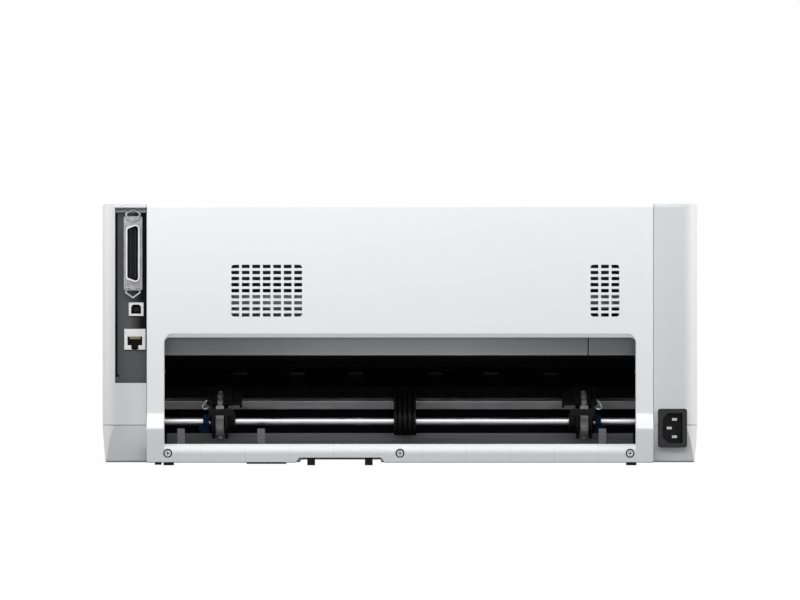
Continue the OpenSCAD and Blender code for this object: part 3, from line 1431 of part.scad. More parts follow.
module tractor_flap() {
    color([0.08, 0.08, 0.08]) difference() {
        union() {
            block([-flap_in, flap_y1, flap_v - 0.9], [plate_out - 1.3, flap_y0, flap_v + 1.1]);
            block([-belt_w / 2 - 6, flap_y1 + 2, flap_v], [belt_w / 2 + 2, flap_y0 - 2, flap_v + 4.4]);
            across(rounded([[flap_y1, flap_v - 4, 2], [flap_y0, flap_v - 4, 3], [flap_y0, flap_v + 1.1, 0],
                            [flap_y1, flap_v + 1.1, 0]], 4), -flap_in, -flap_in + 1.8);
            block([flap_hinge_s - 4, flap_y1 + 6.4, flap_v - 0.9],
                  [flap_hinge_s, flap_y0 - 6.4, flap_v + 1.1]);
            translate([flap_hinge_s, flap_y1 + 6.4, flap_v]) rotate([-90, 0, 0])
                cylinder(h = flap_y0 - flap_y1 - 12.8, r = 2);
            translate([flap_hinge_s, flap_y1 + 1.6, flap_v]) rotate([-90, 0, 0])
                cylinder(h = flap_y0 - flap_y1 - 3.2, r = 0.9);
        }
        block([-flap_slot, flap_y1 + 3.2, flap_v - 2], [flap_slot, flap_y0 + 1, flap_v + 9]);
    }
}

module tractor_lever() {
    color("royalblue") difference() {
        union() {
            rod(lever_s, lever_s + 4.6, 5.6, 0, 0);
            block([lever_s, 1, -8.4], [lever_s + 4.6, 5, 4.6]);
            block([lever_s + 4, 2, -6.8], [lever_s + 8, 5, -2.6]);
        }
        rod(-30, 30, guide_r + fit, 0, 0);
    }
}

// Ring on the square shaft that drives the pin belt from inside
module tractor_sprocket() {
    color("ivory") difference() {
        union() {
            rod(-plate_in + 0.3, plate_in - 0.3, belt_r - belt_t - 0.5, -tractor_span, 0);
            rod(-plate_out, plate_out, hub_r, -tractor_span, 0);
        }
        translate([0, -tractor_span, 0]) rotate([tractor_tilt + drive_turn, 0, 0])
            cube([60, drive_side + 2 * fit, drive_side + 2 * fit], center = true);
    }
}

module tractor_frame_left() {
    tractor(tractor_left_x, 1) tractor_frame();
}

module tractor_frame_right() {
    tractor(tractor_right_x, -1) tractor_frame();
}

module tractor_belt_left() {
    tractor(tractor_left_x, 1) tractor_belt();
}

module tractor_belt_right() {
    tractor(tractor_right_x, -1) tractor_belt();
}

module tractor_flap_left() {
    tractor(tractor_left_x, 1) tractor_flap();
}

module tractor_flap_right() {
    tractor(tractor_right_x, -1) tractor_flap();
}

module tractor_lever_left() {
    tractor(tractor_left_x, 1) tractor_lever();
}

module tractor_lever_right() {
    tractor(tractor_right_x, -1) tractor_lever();
}

module tractor_sprocket_left() {
    tractor(tractor_left_x, 1) tractor_sprocket();
}

module tractor_sprocket_right() {
    tractor(tractor_right_x, -1) tractor_sprocket();
}

// Comb between the tractors that carries the middle of the paper
module paper_support() {
    comb_r = belt_r - 0.6;
    color([0.07, 0.07, 0.07]) tractor(support_x, 1) difference() {
        stadium(-support_w / 2, support_w / 2, comb_r);
        for (x = [-6, -2, 2, 6]) {
            block([x - 0.9, -tractor_span - 20, 7.4], [x + 0.9, 20, 20]);
            block([x - 0.9, 7.4, -20], [x + 0.9, 20, 20]);
        }
        rod(-30, 30, guide_r + fit, 0, 0);
        rod(-30, 30, drive_side * 0.5 * sqrt(2) + 0.3, -tractor_span, 0);
    }
}

lower_case();
upper_case();
rear_cover();
case_screws();
feet();
interface_plate();
parallel_connector();
data_ports();
power_inlet();
port_contacts();
control_panel();
base_frame();
side_frames();
front_paper_bed();
rear_paper_guide();
upper_paper_guide();
carriage_shaft();
carriage_rail();
motors();
timing_belt();
guide_shaft();
circuit_boards();
top_cover();
cover_window();
front_door();
sheet_guide();
edge_guide_left();
edge_guide_right();
power_button();
panel_button_1();
panel_button_2();
panel_button_3();
bail_clip_upper();
bail_clip_lower();
platen_roller();
platen_shaft();
platen_gear();
transfer_gear_front();
transfer_gear_rear();
feed_roller_shaft();
feed_rollers();
motor_pinion();
tractor_drive_shaft();
carriage();
print_head();
ribbon_cartridge();
ribbon_knob();
drive_pulley();
idler_pulley();
tractor_frame_left();
tractor_frame_right();
tractor_belt_left();
tractor_belt_right();
tractor_flap_left();
tractor_flap_right();
tractor_lever_left();
tractor_lever_right();
tractor_sprocket_left();
tractor_sprocket_right();
paper_support();
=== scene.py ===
"""Looks of a flat dot matrix printer, seen from its rear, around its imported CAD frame."""
import math

import bmesh
import bpy
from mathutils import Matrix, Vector


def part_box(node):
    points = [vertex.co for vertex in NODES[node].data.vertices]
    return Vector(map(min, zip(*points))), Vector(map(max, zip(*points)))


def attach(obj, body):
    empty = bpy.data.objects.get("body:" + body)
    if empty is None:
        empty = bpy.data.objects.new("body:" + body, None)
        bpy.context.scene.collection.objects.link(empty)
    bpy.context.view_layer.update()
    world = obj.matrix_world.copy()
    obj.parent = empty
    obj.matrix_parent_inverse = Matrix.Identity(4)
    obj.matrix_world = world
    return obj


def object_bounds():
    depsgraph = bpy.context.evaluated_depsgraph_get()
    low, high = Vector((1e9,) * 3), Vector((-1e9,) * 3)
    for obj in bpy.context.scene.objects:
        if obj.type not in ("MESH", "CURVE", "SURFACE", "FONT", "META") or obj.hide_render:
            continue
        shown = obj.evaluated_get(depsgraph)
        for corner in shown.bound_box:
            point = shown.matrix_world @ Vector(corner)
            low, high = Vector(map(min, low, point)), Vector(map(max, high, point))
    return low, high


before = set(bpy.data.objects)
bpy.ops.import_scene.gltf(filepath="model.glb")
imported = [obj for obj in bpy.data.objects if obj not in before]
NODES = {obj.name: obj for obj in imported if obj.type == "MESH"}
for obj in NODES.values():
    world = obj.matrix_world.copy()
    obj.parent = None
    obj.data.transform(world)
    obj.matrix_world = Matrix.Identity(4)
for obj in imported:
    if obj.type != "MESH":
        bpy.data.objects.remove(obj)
cad_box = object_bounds()
MM = 0.001

# ---------------------------------------------------------------- photograph's view
VIEW_SCALE = 0.8032       # millimetres of the rear face that one pixel of the 800 wide frame shows
IMAGE_W = 800
CAMERA_BACK = 6.0         # metres from the rear cover's face to the camera
CAMERA_Z = 0.105          # metres above the floor
FRAME_MID_Z = 0.1332      # height on the rear face that lies in the middle of the frame
SENSOR = 36.0             # width of the camera's sensor, in millimetres
CLIP_END = 60.0


def place_camera():
    """Level camera that looks at the rear face from far off, with its frame shifted up."""
    face_y = cad_box[1].y
    frame_w = IMAGE_W * VIEW_SCALE * MM
    data = bpy.data.cameras.new("camera")
    data.sensor_width = SENSOR
    data.lens = SENSOR * CAMERA_BACK / frame_w
    data.shift_y = (FRAME_MID_Z - CAMERA_Z) / frame_w
    data.clip_end = CLIP_END
    camera = bpy.data.objects.new("camera", data)
    camera.location = (0, face_y + CAMERA_BACK, CAMERA_Z)
    camera.rotation_euler = (math.radians(90), 0, math.radians(180))
    bpy.context.scene.collection.objects.link(camera)
    bpy.context.scene.camera = camera


# ---------------------------------------------------------------- materials
class Look:
    """A node material in the making: a Principled shader and short calls for what feeds it."""

    def __init__(self, name, colour, roughness, metallic=0.0, **sockets):
        self.mat = bpy.data.materials.new(name)
        self.mat.use_nodes = True
        self.tree = self.mat.node_tree
        self.bsdf = self.tree.nodes["Principled BSDF"]
        self.colour = None     # the socket that paints it, from the first call of paint()
        self.bsdf.inputs["Base Color"].default_value = (*colour, 1)
        self.bsdf.inputs["Roughness"].default_value = roughness
        self.bsdf.inputs["Metallic"].default_value = metallic
        for key, value in sockets.items():
            self.bsdf.inputs[key.replace("_", " ")].default_value = value
        self.where = self.node("TexCoord").outputs["Object"]
        self.normal = None

    def node(self, kind, **settings):
        """A new shader node with these settings."""
        made = self.tree.nodes.new("ShaderNode" + kind)
        for key, value in settings.items():
            setattr(made, key, value)
        return made

    def link(self, source, target):
        """Joins an output socket to an input socket."""
        self.tree.links.new(source, target)

    def stretched(self, x, y, z):
        """Object coordinates scaled by a factor for each direction."""
        mapping = self.node("Mapping")
        mapping.inputs["Scale"].default_value = (x, y, z)
        self.link(self.where, mapping.inputs["Vector"])
        return mapping.outputs["Vector"]

    def noise(self, scale, detail=2.0, where=None):
        """Noise in object coordinates."""
        made = self.node("TexNoise")
        made.inputs["Scale"].default_value = scale
        made.inputs["Detail"].default_value = detail
        self.link(where or self.where, made.inputs["Vector"])
        return made.outputs["Fac"]

    def spread(self, value, low, high, from_low=0.25, from_high=0.75):
        """The value's range between two numbers mapped to another; the default suits noise."""
        made = self.node("MapRange")
        for key, number in zip(("From Min", "From Max", "To Min", "To Max"), (from_low, from_high, low, high)):
            made.inputs[key].default_value = number
        self.link(value, made.inputs["Value"])
        return made.outputs["Result"]

    def math(self, operation, a, b=0.0):
        """Result of a sum, where each value is a number or a socket."""
        made = self.node("Math", operation=operation)
        for socket, value in zip(made.inputs, (a, b)):
            if isinstance(value, (int, float)):
                socket.default_value = value
            else:
                self.link(value, socket)
        return made.outputs[0]

    def axis(self, letter):
        """One object coordinate, in metres."""
        made = self.node("SeparateXYZ")
        self.link(self.where, made.inputs[0])
        return made.outputs[letter]

    def facing(self, letter):
        """One part of the surface's own direction."""
        normal, made = self.node("NewGeometry"), self.node("SeparateXYZ")
        self.link(normal.outputs["True Normal"], made.inputs[0])
        return made.outputs[letter]

    def mix(self, factor, first, second):
        """Colour between two colours, each a tuple or a socket."""
        made = self.node("Mix", data_type="RGBA")
        self.link(factor, made.inputs["Factor"])
        for key, value in (("A", first), ("B", second)):
            socket = [s for s in made.inputs if s.name == key and s.type == "RGBA"][0]
            if isinstance(value, tuple):
                socket.default_value = (*value[:3], 1)
            else:
                self.link(value, socket)
        return [s for s in made.outputs if s.type == "RGBA"][0]

    def off(self, value, middle):
        """Distance of the value from a middle."""
        return self.math("ABSOLUTE", self.math("SUBTRACT", value, middle))

    def below(self, value, limit):
        """1 where the value is less than the limit."""
        return self.math("LESS_THAN", value, limit)

    def above(self, value, limit):
        """1 where the value is more than the limit."""
        return self.math("GREATER_THAN", value, limit)

    def between(self, value, low, high):
        """1 where the value lies between two numbers."""
        return self.math("MULTIPLY", self.above(value, low), self.below(value, high))

    def all_of(self, *factors):
        """1 where all the factors are 1."""
        product = factors[0]
        for factor in factors[1:]:
            product = self.math("MULTIPLY", product, factor)
        return product

    def paint(self, colour):
        """The base colour comes from this socket."""
        self.colour = colour
        self.link(colour, self.bsdf.inputs["Base Color"])
        return self

    def rough(self, value):
        """The roughness comes from this socket."""
        self.link(value, self.bsdf.inputs["Roughness"])
        return self

    def soft_edges(self, radius):
        """Edges catch the light as if they were rounded by this radius."""
        made = self.node("Bevel", samples=4)
        made.inputs["Radius"].default_value = radius
        self.normal = made.outputs["Normal"]
        self.link(self.normal, self.bsdf.inputs["Normal"])
        return self

    def bump(self, height, distance, strength=1.0):
        """Relief of this depth, in metres, over the rounded edges."""
        made = self.node("Bump")
        made.inputs["Distance"].default_value = distance
        made.inputs["Strength"].default_value = strength
        self.link(height, made.inputs["Height"])
        if self.normal:
            self.link(self.normal, made.inputs["Normal"])
        self.normal = made.outputs["Normal"]
        self.link(self.normal, self.bsdf.inputs["Normal"])
        return self


def shade(colour, factor):
    """The colour made darker or lighter."""
    return tuple(min(1.0, c * factor) for c in colour)


def moulded(name, colour, roughness=0.45, grain=0.00003, edge=0.0005, grain_scale=1800, **sockets):
    """Injection-moulded plastic with a spark-eroded grain."""
    look = Look(name, colour, roughness, **sockets)
    look.soft_edges(edge)
    fine = look.noise(grain_scale, 2)
    toned = look.mix(look.spread(look.noise(7, 1), 0, 1), shade(colour, 0.975), shade(colour, 1.01))
    look.paint(look.mix(look.spread(fine, 0, 0.5), toned, shade(colour, 0.94)))
    look.rough(look.spread(look.noise(60, 3), roughness - 0.05, roughness + 0.06))
    return look.bump(fine, grain, 0.6)


def steel(name, colour, roughness, lines=(900, 40, 40), depth=0.000004, edge=0.0003):
    """Ground or rolled steel with fine marks across the given direction."""
    look = Look(name, colour, roughness, metallic=1.0)
    look.soft_edges(edge)
    marks = look.noise(1.0, 3, look.stretched(*lines))
    look.paint(look.mix(look.spread(marks, 0, 1), shade(colour, 0.9), shade(colour, 1.05)))
    look.rough(look.spread(marks, roughness * 0.75, roughness * 1.3))
    return look.bump(marks, depth, 0.5)


ZINC_METALLIC = 0.85


def zinc(name, colour, roughness=0.38):
    """Zinc-plated sheet with a faint spangle."""
    look = Look(name, colour, roughness, metallic=ZINC_METALLIC)
    look.soft_edges(0.0003)
    cells = look.node("TexVoronoi")
    cells.inputs["Scale"].default_value = 260
    look.link(look.where, cells.inputs["Vector"])
    spangle = look.node("RGBToBW")
    look.link(cells.outputs["Color"], spangle.inputs[0])
    look.paint(look.mix(spangle.outputs[0], shade(colour, 0.86), shade(colour, 1.1)))
    look.rough(look.spread(look.noise(90, 3), roughness - 0.08, roughness + 0.1))
    return look.bump(look.noise(700, 2), 0.00001, 0.5)


def rubber(name, colour):
    """Dull rubber with a coarse grain."""
    look = Look(name, colour, 0.7, Specular_IOR_Level=0.35)
    look.soft_edges(0.0004)
    fine = look.noise(1300, 3)
    look.paint(look.mix(look.spread(fine, 0, 1), shade(colour, 0.8), shade(colour, 1.35)))
    look.rough(look.spread(look.noise(120, 3), 0.62, 0.8))
    return look.bump(fine, 0.00004, 0.7)


WHITE = (0.86, 0.87, 0.885)
CASE_GREY = (0.66, 0.67, 0.685)
EDGE_GREY = (0.06, 0.061, 0.063)       # shaded lower edge of the rear cover and of the case
# painted shade for the walls inside the rear cover's slots
SLOT_SHADE = (0.008, 0.008, 0.008)
NEAR_BLACK = (0.004, 0.004, 0.0042)
BOTTOM_EDGE = 0.5 * MM
LINE_PITCH = 35.49 * MM
LINE_W = 0.011                         # half width of a line, as a share of the pitch
LINE_DEPTH = 0.3                       # how dark a painted shadow line gets, as a share of the way to its darker colour
LINE_REACH = 0.168                     # the lines end this far from the middle
SILL_TOP = 17.4 * MM
GRILLE_REACH, GRILLE_Z = 0.17, (0.09, 0.19)     # the slots lie this near to the middle, between these heights
WALL_FACING = 0.5                      # a face that looks less to the rear than this is a slot's wall


def rear_cover_look():
    """White moulding with painted shade: faint shadow lines on its sill, one at each inner rib, a dark lower edge
    and dark walls in its slots.
    """
    look = Look("rear_cover_plastic", WHITE, 0.45, Specular_IOR_Level=0.3)
    look.soft_edges(0.0006)
    x, z = look.axis("X"), look.axis("Z")
    across = look.math("ABSOLUTE", x)
    fine = look.noise(1800, 2)
    toned = look.mix(look.spread(look.noise(5, 1), 0, 1), shade(WHITE, 0.98), shade(WHITE, 1.01))
    grained = look.mix(look.spread(fine, 0, 0.5), toned, shade(WHITE, 0.95))
    # Painted shade: a faint shadow line at each rib on the sill
    turns = look.math("FRACT", look.math("ADD", look.math("DIVIDE", x, LINE_PITCH), 20.0))
    line = look.all_of(look.below(look.off(turns, 0.5), LINE_W), look.below(z, SILL_TOP),
                       look.below(across, LINE_REACH))
    rib_shadowed = look.mix(look.math("MULTIPLY", line, LINE_DEPTH), grained, shade(WHITE, 0.75))
    edged = look.mix(look.below(z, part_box("rear_cover")[0].z + BOTTOM_EDGE), rib_shadowed, EDGE_GREY)
    # Painted shade: the walls inside the slots are darkened as if in shadow
    wall = look.below(look.math("ABSOLUTE", look.facing("Y")), WALL_FACING)
    slot_wall_shade = look.all_of(look.between(z, *GRILLE_Z), look.below(across, GRILLE_REACH), wall)
    look.paint(look.mix(slot_wall_shade, edged, SLOT_SHADE))
    look.rough(look.spread(look.noise(60, 3), 0.37, 0.48))
    return look.bump(fine, 0.00003, 0.6)


def case_look():
    """Light grey moulding with a shaded lower edge."""
    look = moulded("case_plastic", CASE_GREY, 0.45, Specular_IOR_Level=0.3)
    edge = look.below(look.axis("Z"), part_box("lower_case")[0].z + BOTTOM_EDGE)
    return look.paint(look.mix(edge, look.colour, EDGE_GREY))


INNER_PANEL_Y = 149.5 * MM     # the sheet stands upright to the rear of this
PANEL_MID = (0.92, 0.925, 0.94)
PANEL_SHADED_END = (0.5, 0.505, 0.515)
PANEL_LIT_HALF, PANEL_HALF = 0.05, 0.19     # from the middle: the lightest stretch, and the sheet's end
SEAM_X = -151.9 * MM
# A light lip lies between the first two and a dark gap between the last two, from the seam's place
SEAM_LEFT, SEAM_MID, SEAM_RIGHT = -0.0015, -0.0006, 0.0004
SEAM_LIGHT = (0.7, 0.7, 0.71)
FOLD_Z, FOLD_HALF = 80.7 * MM, 0.3 * MM
FOLD_HIGHLIGHT = (0.05, 0.05, 0.052)


def inner_panel_look():
    """Painted sheet: grey where it stands upright behind the opening, with painted shade towards its ends, near
    black over the paper path with a painted highlight along a fold.
    """
    look = Look("inner_panel_sheet", PANEL_MID, 0.5, Specular_IOR_Level=0.15)
    look.soft_edges(0.0003)
    x, y, z = (look.axis(letter) for letter in "XYZ")
    fine = look.noise(2200, 2)
    # Painted shade: the sheet darkens from its lit middle towards its ends
    end_falloff_shade = look.spread(look.math("ABSOLUTE", x), 0, 1, PANEL_LIT_HALF, PANEL_HALF)
    grey = look.mix(end_falloff_shade, PANEL_MID, PANEL_SHADED_END)
    grey = look.mix(look.spread(fine, 0, 0.12), grey, NEAR_BLACK)
    grey = look.mix(look.between(x, SEAM_X + SEAM_LEFT, SEAM_X + SEAM_MID), grey, SEAM_LIGHT)
    grey = look.mix(look.between(x, SEAM_X + SEAM_MID, SEAM_X + SEAM_RIGHT), grey, NEAR_BLACK)
    # Painted highlight: a grey line along the fold in the black sheet
    fold = look.between(z, FOLD_Z - FOLD_HALF, FOLD_Z + FOLD_HALF)
    black = look.mix(fold, NEAR_BLACK, FOLD_HIGHLIGHT)
    look.paint(look.mix(look.above(y, INNER_PANEL_Y), black, grey))
    look.rough(look.spread(look.noise(50, 2), 0.45, 0.6))
    return look.bump(fine, 0.00002, 0.5)


# Sockets of the data ports: middle across and up, half width, bottom and top from the middle, in millimetres
SOCKETS = ((212.8, 125.9, 4.2, -3.9, 3.9), (213.8, 101.6, 6.1, -9.2, 2.4))
TONGUE = (212.8, 125.6, 2.0, -1.3, 1.3)
SOCKET_BLACK, TONGUE_GREY = (0.004, 0.004, 0.004), (0.028, 0.028, 0.028)
FACE_SKIN = 0.1 * MM     # what lies less deep than this is the housing's face


def port_look():
    """White housings, painted near black inside their sockets and dark grey on the tongue."""
    look = moulded("port_plastic", (0.86, 0.86, 0.845), 0.4, Specular_IOR_Level=0.12)
    x, y, z = (look.axis(letter) for letter in "XYZ")
    inner = look.below(y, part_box("data_ports")[1].y - FACE_SKIN)
    for (cx, cz, half_w, low_z, high_z), colour in ((SOCKETS[0], SOCKET_BLACK), (SOCKETS[1], SOCKET_BLACK),
                                                    (TONGUE, TONGUE_GREY)):
        area = look.all_of(inner, look.between(x, (cx - half_w) * MM, (cx + half_w) * MM),
                           look.between(z, (cz + low_z) * MM, (cz + high_z) * MM))
        look.paint(look.mix(area, look.colour, colour))
    return look


PLATE_GREY = (0.1, 0.101, 0.105)
PLATE_SHADE = (0.005, 0.0052, 0.0058)
SHADE_X = (4 * MM, 14 * MM)        # the shade fades out between these distances from the plate's inner side
SHADE_Z = (0.088, 0.108)           # and fades in between these heights
PLATE_RIM = 1.2 * MM
GROOVE_W, GROOVE_GAP = 1.7 * MM, 0.1 * MM
GROOVE_Z = 72 * MM
HOOK_W, HOOK_UNDER, HOOK_OVER = 3.0 * MM, 0.6 * MM, 1.3 * MM


def plate_look():
    """Painted interface plate, with painted shade beside the connector and a painted shadow in a hooked groove
    along its outer side.
    """
    low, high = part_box("interface_plate")
    look = moulded("interface_plate_paint", PLATE_GREY, 0.55, 0.00002, grain_scale=2600, Specular_IOR_Level=0.06)
    x, z = look.axis("X"), look.axis("Z")
    grained = look.mix(look.spread(look.noise(2600, 2), 0, 0.4), PLATE_GREY, shade(PLATE_GREY, 1.3))
    # Painted shade beside the connector and the cover, fading out sideways and downwards
    deep = look.math("MULTIPLY", look.spread(x, 1, 0, low.x + SHADE_X[0], low.x + SHADE_X[1]),
                     look.spread(z, 0, 1, *SHADE_Z))
    shaded = look.mix(deep, grained, PLATE_SHADE)
    # Painted shadow: the gap along the plate's outer side, with its hook, is painted near black
    side = high.x - PLATE_RIM
    groove = look.all_of(look.between(x, side - GROOVE_W, side - GROOVE_GAP), look.between(z, GROOVE_Z, high.z))
    hook = look.all_of(look.between(x, side - HOOK_W, side - GROOVE_GAP),
                       look.between(z, GROOVE_Z - HOOK_UNDER, GROOVE_Z + HOOK_OVER))
    return look.paint(look.mix(look.math("MAXIMUM", groove, hook), shaded, NEAR_BLACK))


# Inside of the connector's shell, from its middle: half width, half length, and how far one side leans
SHELL_INNER_W = 4.4 * MM
SHELL_INNER_L = 21.5 * MM
SHELL_LEAN = 0.321
SHELL_RIM, SHELL_LIP = 0.9 * MM, 0.5 * MM
RIM_HIGHLIGHT, SHELL_BLACK = (0.5, 0.5, 0.51), (0.003, 0.003, 0.003)


def connector_look():
    """Tin-plated shell with a painted highlight on its rim, black inside its D-shaped opening."""
    low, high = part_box("parallel_connector")
    look = zinc("connector_tin", (0.27, 0.27, 0.275), 0.34)
    look.bsdf.inputs["Specular IOR Level"].default_value = 0.1
    y = look.axis("Y")
    # Painted highlight: the shell's rim is painted lighter than the rest of the tin
    tin = look.mix(look.above(y, high.y - SHELL_RIM), look.colour, RIM_HIGHLIGHT)
    x = look.math("SUBTRACT", look.axis("X"), (low.x + high.x) / 2)
    up = look.off(look.axis("Z"), (low.z + high.z) / 2)
    reach = look.math("ADD", up, look.math("MULTIPLY", x, SHELL_LEAN))
    inside = look.all_of(look.between(x, -SHELL_INNER_W, SHELL_INNER_W), look.below(reach, SHELL_INNER_L),
                         look.below(y, high.y - SHELL_LIP))
    look.paint(look.mix(inside, tin, SHELL_BLACK))
    metal = look.math("SUBTRACT", ZINC_METALLIC, look.math("MULTIPLY", inside, ZINC_METALLIC))
    look.link(metal, look.bsdf.inputs["Metallic"])
    return look


INLET_GREY, INLET_BLACK = (0.018, 0.0185, 0.0195), (0.002, 0.002, 0.002)
INLET_RIM = 1.0 * MM


def inlet_look():
    """Dark grey frame round a black socket."""
    look = moulded("inlet_plastic", INLET_GREY, 0.4, Specular_IOR_Level=0.2)
    inside = look.below(look.axis("Y"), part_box("power_inlet")[1].y - INLET_RIM)
    return look.paint(look.mix(inside, look.colour, INLET_BLACK))


SCREW_HEADS = ((-185.0, 10), (0, 10), (186.7, 10))     # across and up, in millimetres
CROSS_L, CROSS_W = 1.6 * MM, 0.3 * MM
SCREW_RIM = 2.45 * MM
RECESS_SHADE = (0.05, 0.05, 0.05)


def screw_look():
    """Bright screw with painted shade in its cross recess and round its rim."""
    look = steel("screw_steel", (0.42, 0.42, 0.43), 0.3, lines=(400, 400, 400))
    across, height = look.axis("X"), look.axis("Z")
    for mid_x, mid_z in SCREW_HEADS:
        x, z = look.off(across, mid_x * MM), look.off(height, mid_z * MM)
        # Painted shade in the cross recess and round the head's rim
        cross = look.all_of(look.below(look.math("MAXIMUM", x, z), CROSS_L),
                            look.below(look.math("MINIMUM", x, z), CROSS_W))
        reach = look.math("SQRT", look.math("ADD", look.math("POWER", x, 2.0), look.math("POWER", z, 2.0)))
        rim = look.between(reach, SCREW_RIM, 2 * SCREW_RIM)
        look.paint(look.mix(look.math("MAXIMUM", cross, rim), look.colour, RECESS_SHADE))
    return look


def window_look():
    """Smoked acrylic."""
    look = Look("smoked_window", (0.16, 0.17, 0.18), 0.06, Transmission_Weight=0.92, IOR=1.49)
    look.rough(look.spread(look.noise(30, 2), 0.04, 0.09))
    return look.paint(look.mix(look.spread(look.noise(9, 1), 0, 1), (0.15, 0.16, 0.17), (0.18, 0.19, 0.2)))


def board_look():
    """Solder mask over copper tracks."""
    look = Look("circuit_board", (0.02, 0.13, 0.06), 0.3)
    cells = look.node("TexBrick")
    cells.inputs["Scale"].default_value = 180
    cells.inputs["Mortar Size"].default_value = 0.06
    look.link(look.where, cells.inputs["Vector"])
    look.paint(look.mix(cells.outputs["Fac"], (0.015, 0.11, 0.05), (0.05, 0.22, 0.1)))
    look.rough(look.spread(look.noise(80, 2), 0.22, 0.4))
    return look.bump(cells.outputs["Fac"], 0.00003, 0.6)


GOLD, WORN_GOLD = (0.36, 0.33, 0.2), (0.24, 0.22, 0.13)
SHADED_CONTACT_TIN, BLADE_TIN = (0.05, 0.05, 0.052), (0.3, 0.3, 0.29)
PARALLEL_Z = 141 * MM     # contacts above this height are the parallel connector's


def contact_look():
    """Gold contacts in the network socket, tin darkened by painted shade in the parallel connector and bright
    blades in the inlet.
    """
    look = Look("plated_contacts", (0.8, 0.66, 0.36), 0.3, metallic=1.0)
    marks = look.noise(900, 2)
    gold = look.mix(look.spread(marks, 0, 1), WORN_GOLD, GOLD)
    # Painted shade: the parallel connector's contacts are painted near black
    tinned = look.mix(look.above(look.axis("Z"), PARALLEL_Z), gold, SHADED_CONTACT_TIN)
    look.paint(look.mix(look.below(look.axis("X"), 0.0), tinned, BLADE_TIN))
    return look.rough(look.spread(marks, 0.25, 0.4))


LOOKS = {
    "rear": rear_cover_look(),
    "case": case_look(),
    "trim": moulded("trim_plastic", (0.42, 0.44, 0.46), 0.4),
    "button": moulded("button_plastic", (0.17, 0.2, 0.24), 0.35, edge=0.0007),
    "black": moulded("black_plastic", (0.004, 0.004, 0.0045), 0.45, Specular_IOR_Level=0.06),
    "dark": moulded("dark_plastic", (0.04, 0.041, 0.044), 0.4),
    "inlet": inlet_look(),
    "tractor": moulded("tractor_plastic", (0.01, 0.01, 0.011), 0.45, Specular_IOR_Level=0.08),
    "belt": moulded("belt_plastic", (0.22, 0.22, 0.225), 0.45, Specular_IOR_Level=0.2),
    "gear": moulded("gear_plastic", (0.74, 0.71, 0.62), 0.4),
    "lever": moulded("lever_plastic", (0.003, 0.013, 0.035), 0.45, Specular_IOR_Level=0.05),
    "port": port_look(),
    "rubber": rubber("rubber_black", (0.022, 0.022, 0.024)),
    "roller": rubber("roller_rubber", (0.03, 0.03, 0.032)),
    "sheet": moulded("painted_sheet", (0.1, 0.1, 0.105), 0.5, grain=0.00002),
    "guide_sheet": inner_panel_look(),
    "black_guide": moulded("black_guide_plastic", (0.003, 0.003, 0.003), 0.55, Specular_IOR_Level=0.03),
    "plate": plate_look(),
    "foil": moulded("shielding_strip_tin", (0.88, 0.9, 0.93), 0.5, grain=0.000008),
    "finger": moulded("shielding_fingers", (0.3, 0.31, 0.33), 0.5, grain=0.000008),
    "base": steel("base_frame_sheet", (0.105, 0.105, 0.11), 0.6, lines=(14, 260, 1300)),
    "zinc": zinc("zinc_steel", (0.42, 0.42, 0.43)),
    "steel": steel("polished_steel", (0.42, 0.42, 0.43), 0.38, lines=(60, 300, 300), depth=0.000002),
    "square": steel("square_shaft_steel", (0.5, 0.5, 0.505), 0.42, lines=(60, 300, 300), depth=0.000002),
    "connector": connector_look(),
    "bail": steel("bail_wire_steel", (0.34, 0.34, 0.35), 0.34, lines=(500, 500, 500)),
    "screw": screw_look(),
    "clip": steel("spring_clip_steel", (0.9, 0.9, 0.91), 0.3, lines=(400, 400, 400)),
    "contacts": contact_look(),
    "motor": moulded("motor_paint", (0.03, 0.03, 0.032), 0.35),
    "board": board_look(),
    "window": window_look(),
    "lamp": moulded("indicator_lens", (0.1, 0.42, 0.12), 0.18, grain=0.000005),
    "symbol": moulded("symbol_paint", (0.7, 0.71, 0.72), 0.5, grain=0.00001, edge=0.0001),
    "blade": steel("tear_bar_steel", (0.6, 0.6, 0.61), 0.3, lines=(30, 900, 900)),
}

NODE_LOOKS = {
    "rear": ["rear_cover"],
    "case": ["lower_case", "upper_case", "top_cover", "front_door", "sheet_guide"],
    "trim": ["control_panel", "edge_guide_left", "edge_guide_right"],
    "button": ["power_button", "panel_button_1", "panel_button_2", "panel_button_3"],
    "black": ["tractor_flap_left", "tractor_flap_right", "paper_support"],
    "dark": ["ribbon_cartridge", "ribbon_knob", "carriage"],
    "inlet": ["power_inlet"],
    "tractor": ["tractor_frame_left", "tractor_frame_right"],
    "belt": ["tractor_belt_left", "tractor_belt_right"],
    "gear": ["platen_gear", "transfer_gear_front", "transfer_gear_rear", "motor_pinion", "drive_pulley",
             "idler_pulley", "tractor_sprocket_left", "tractor_sprocket_right"],
    "lever": ["tractor_lever_left", "tractor_lever_right"],
    "port": ["data_ports"],
    "rubber": ["feet", "timing_belt"],
    "roller": ["platen_roller", "feed_rollers"],
    "sheet": ["front_paper_bed"],
    "black_guide": ["rear_paper_guide"],
    "guide_sheet": ["upper_paper_guide"],
    "plate": ["interface_plate"],
    "base": ["base_frame"],
    "zinc": ["side_frames", "carriage_rail", "print_head"],
    "steel": ["carriage_shaft", "platen_shaft", "guide_shaft", "feed_roller_shaft"],
    "square": ["tractor_drive_shaft"],
    "connector": ["parallel_connector"],
    "bail": ["bail_clip_upper", "bail_clip_lower"],
    "screw": ["case_screws"],
    "contacts": ["port_contacts"],
    "motor": ["motors"],
    "board": ["circuit_boards"],
    "window": ["cover_window"],
}


def dress_nodes():
    """Gives each CAD node its look."""
    for key, names in NODE_LOOKS.items():
        for name in names:
            mesh = NODES[name].data
            mesh.materials.clear()
            mesh.materials.append(LOOKS[key].mat)


# ---------------------------------------------------------------- pieces in mesh code
SMOOTH_ANGLE = math.radians(28)     # sharper edges than this stay crisp
BEVEL_ANGLE = 0.6                   # radians: only edges sharper than this are rounded


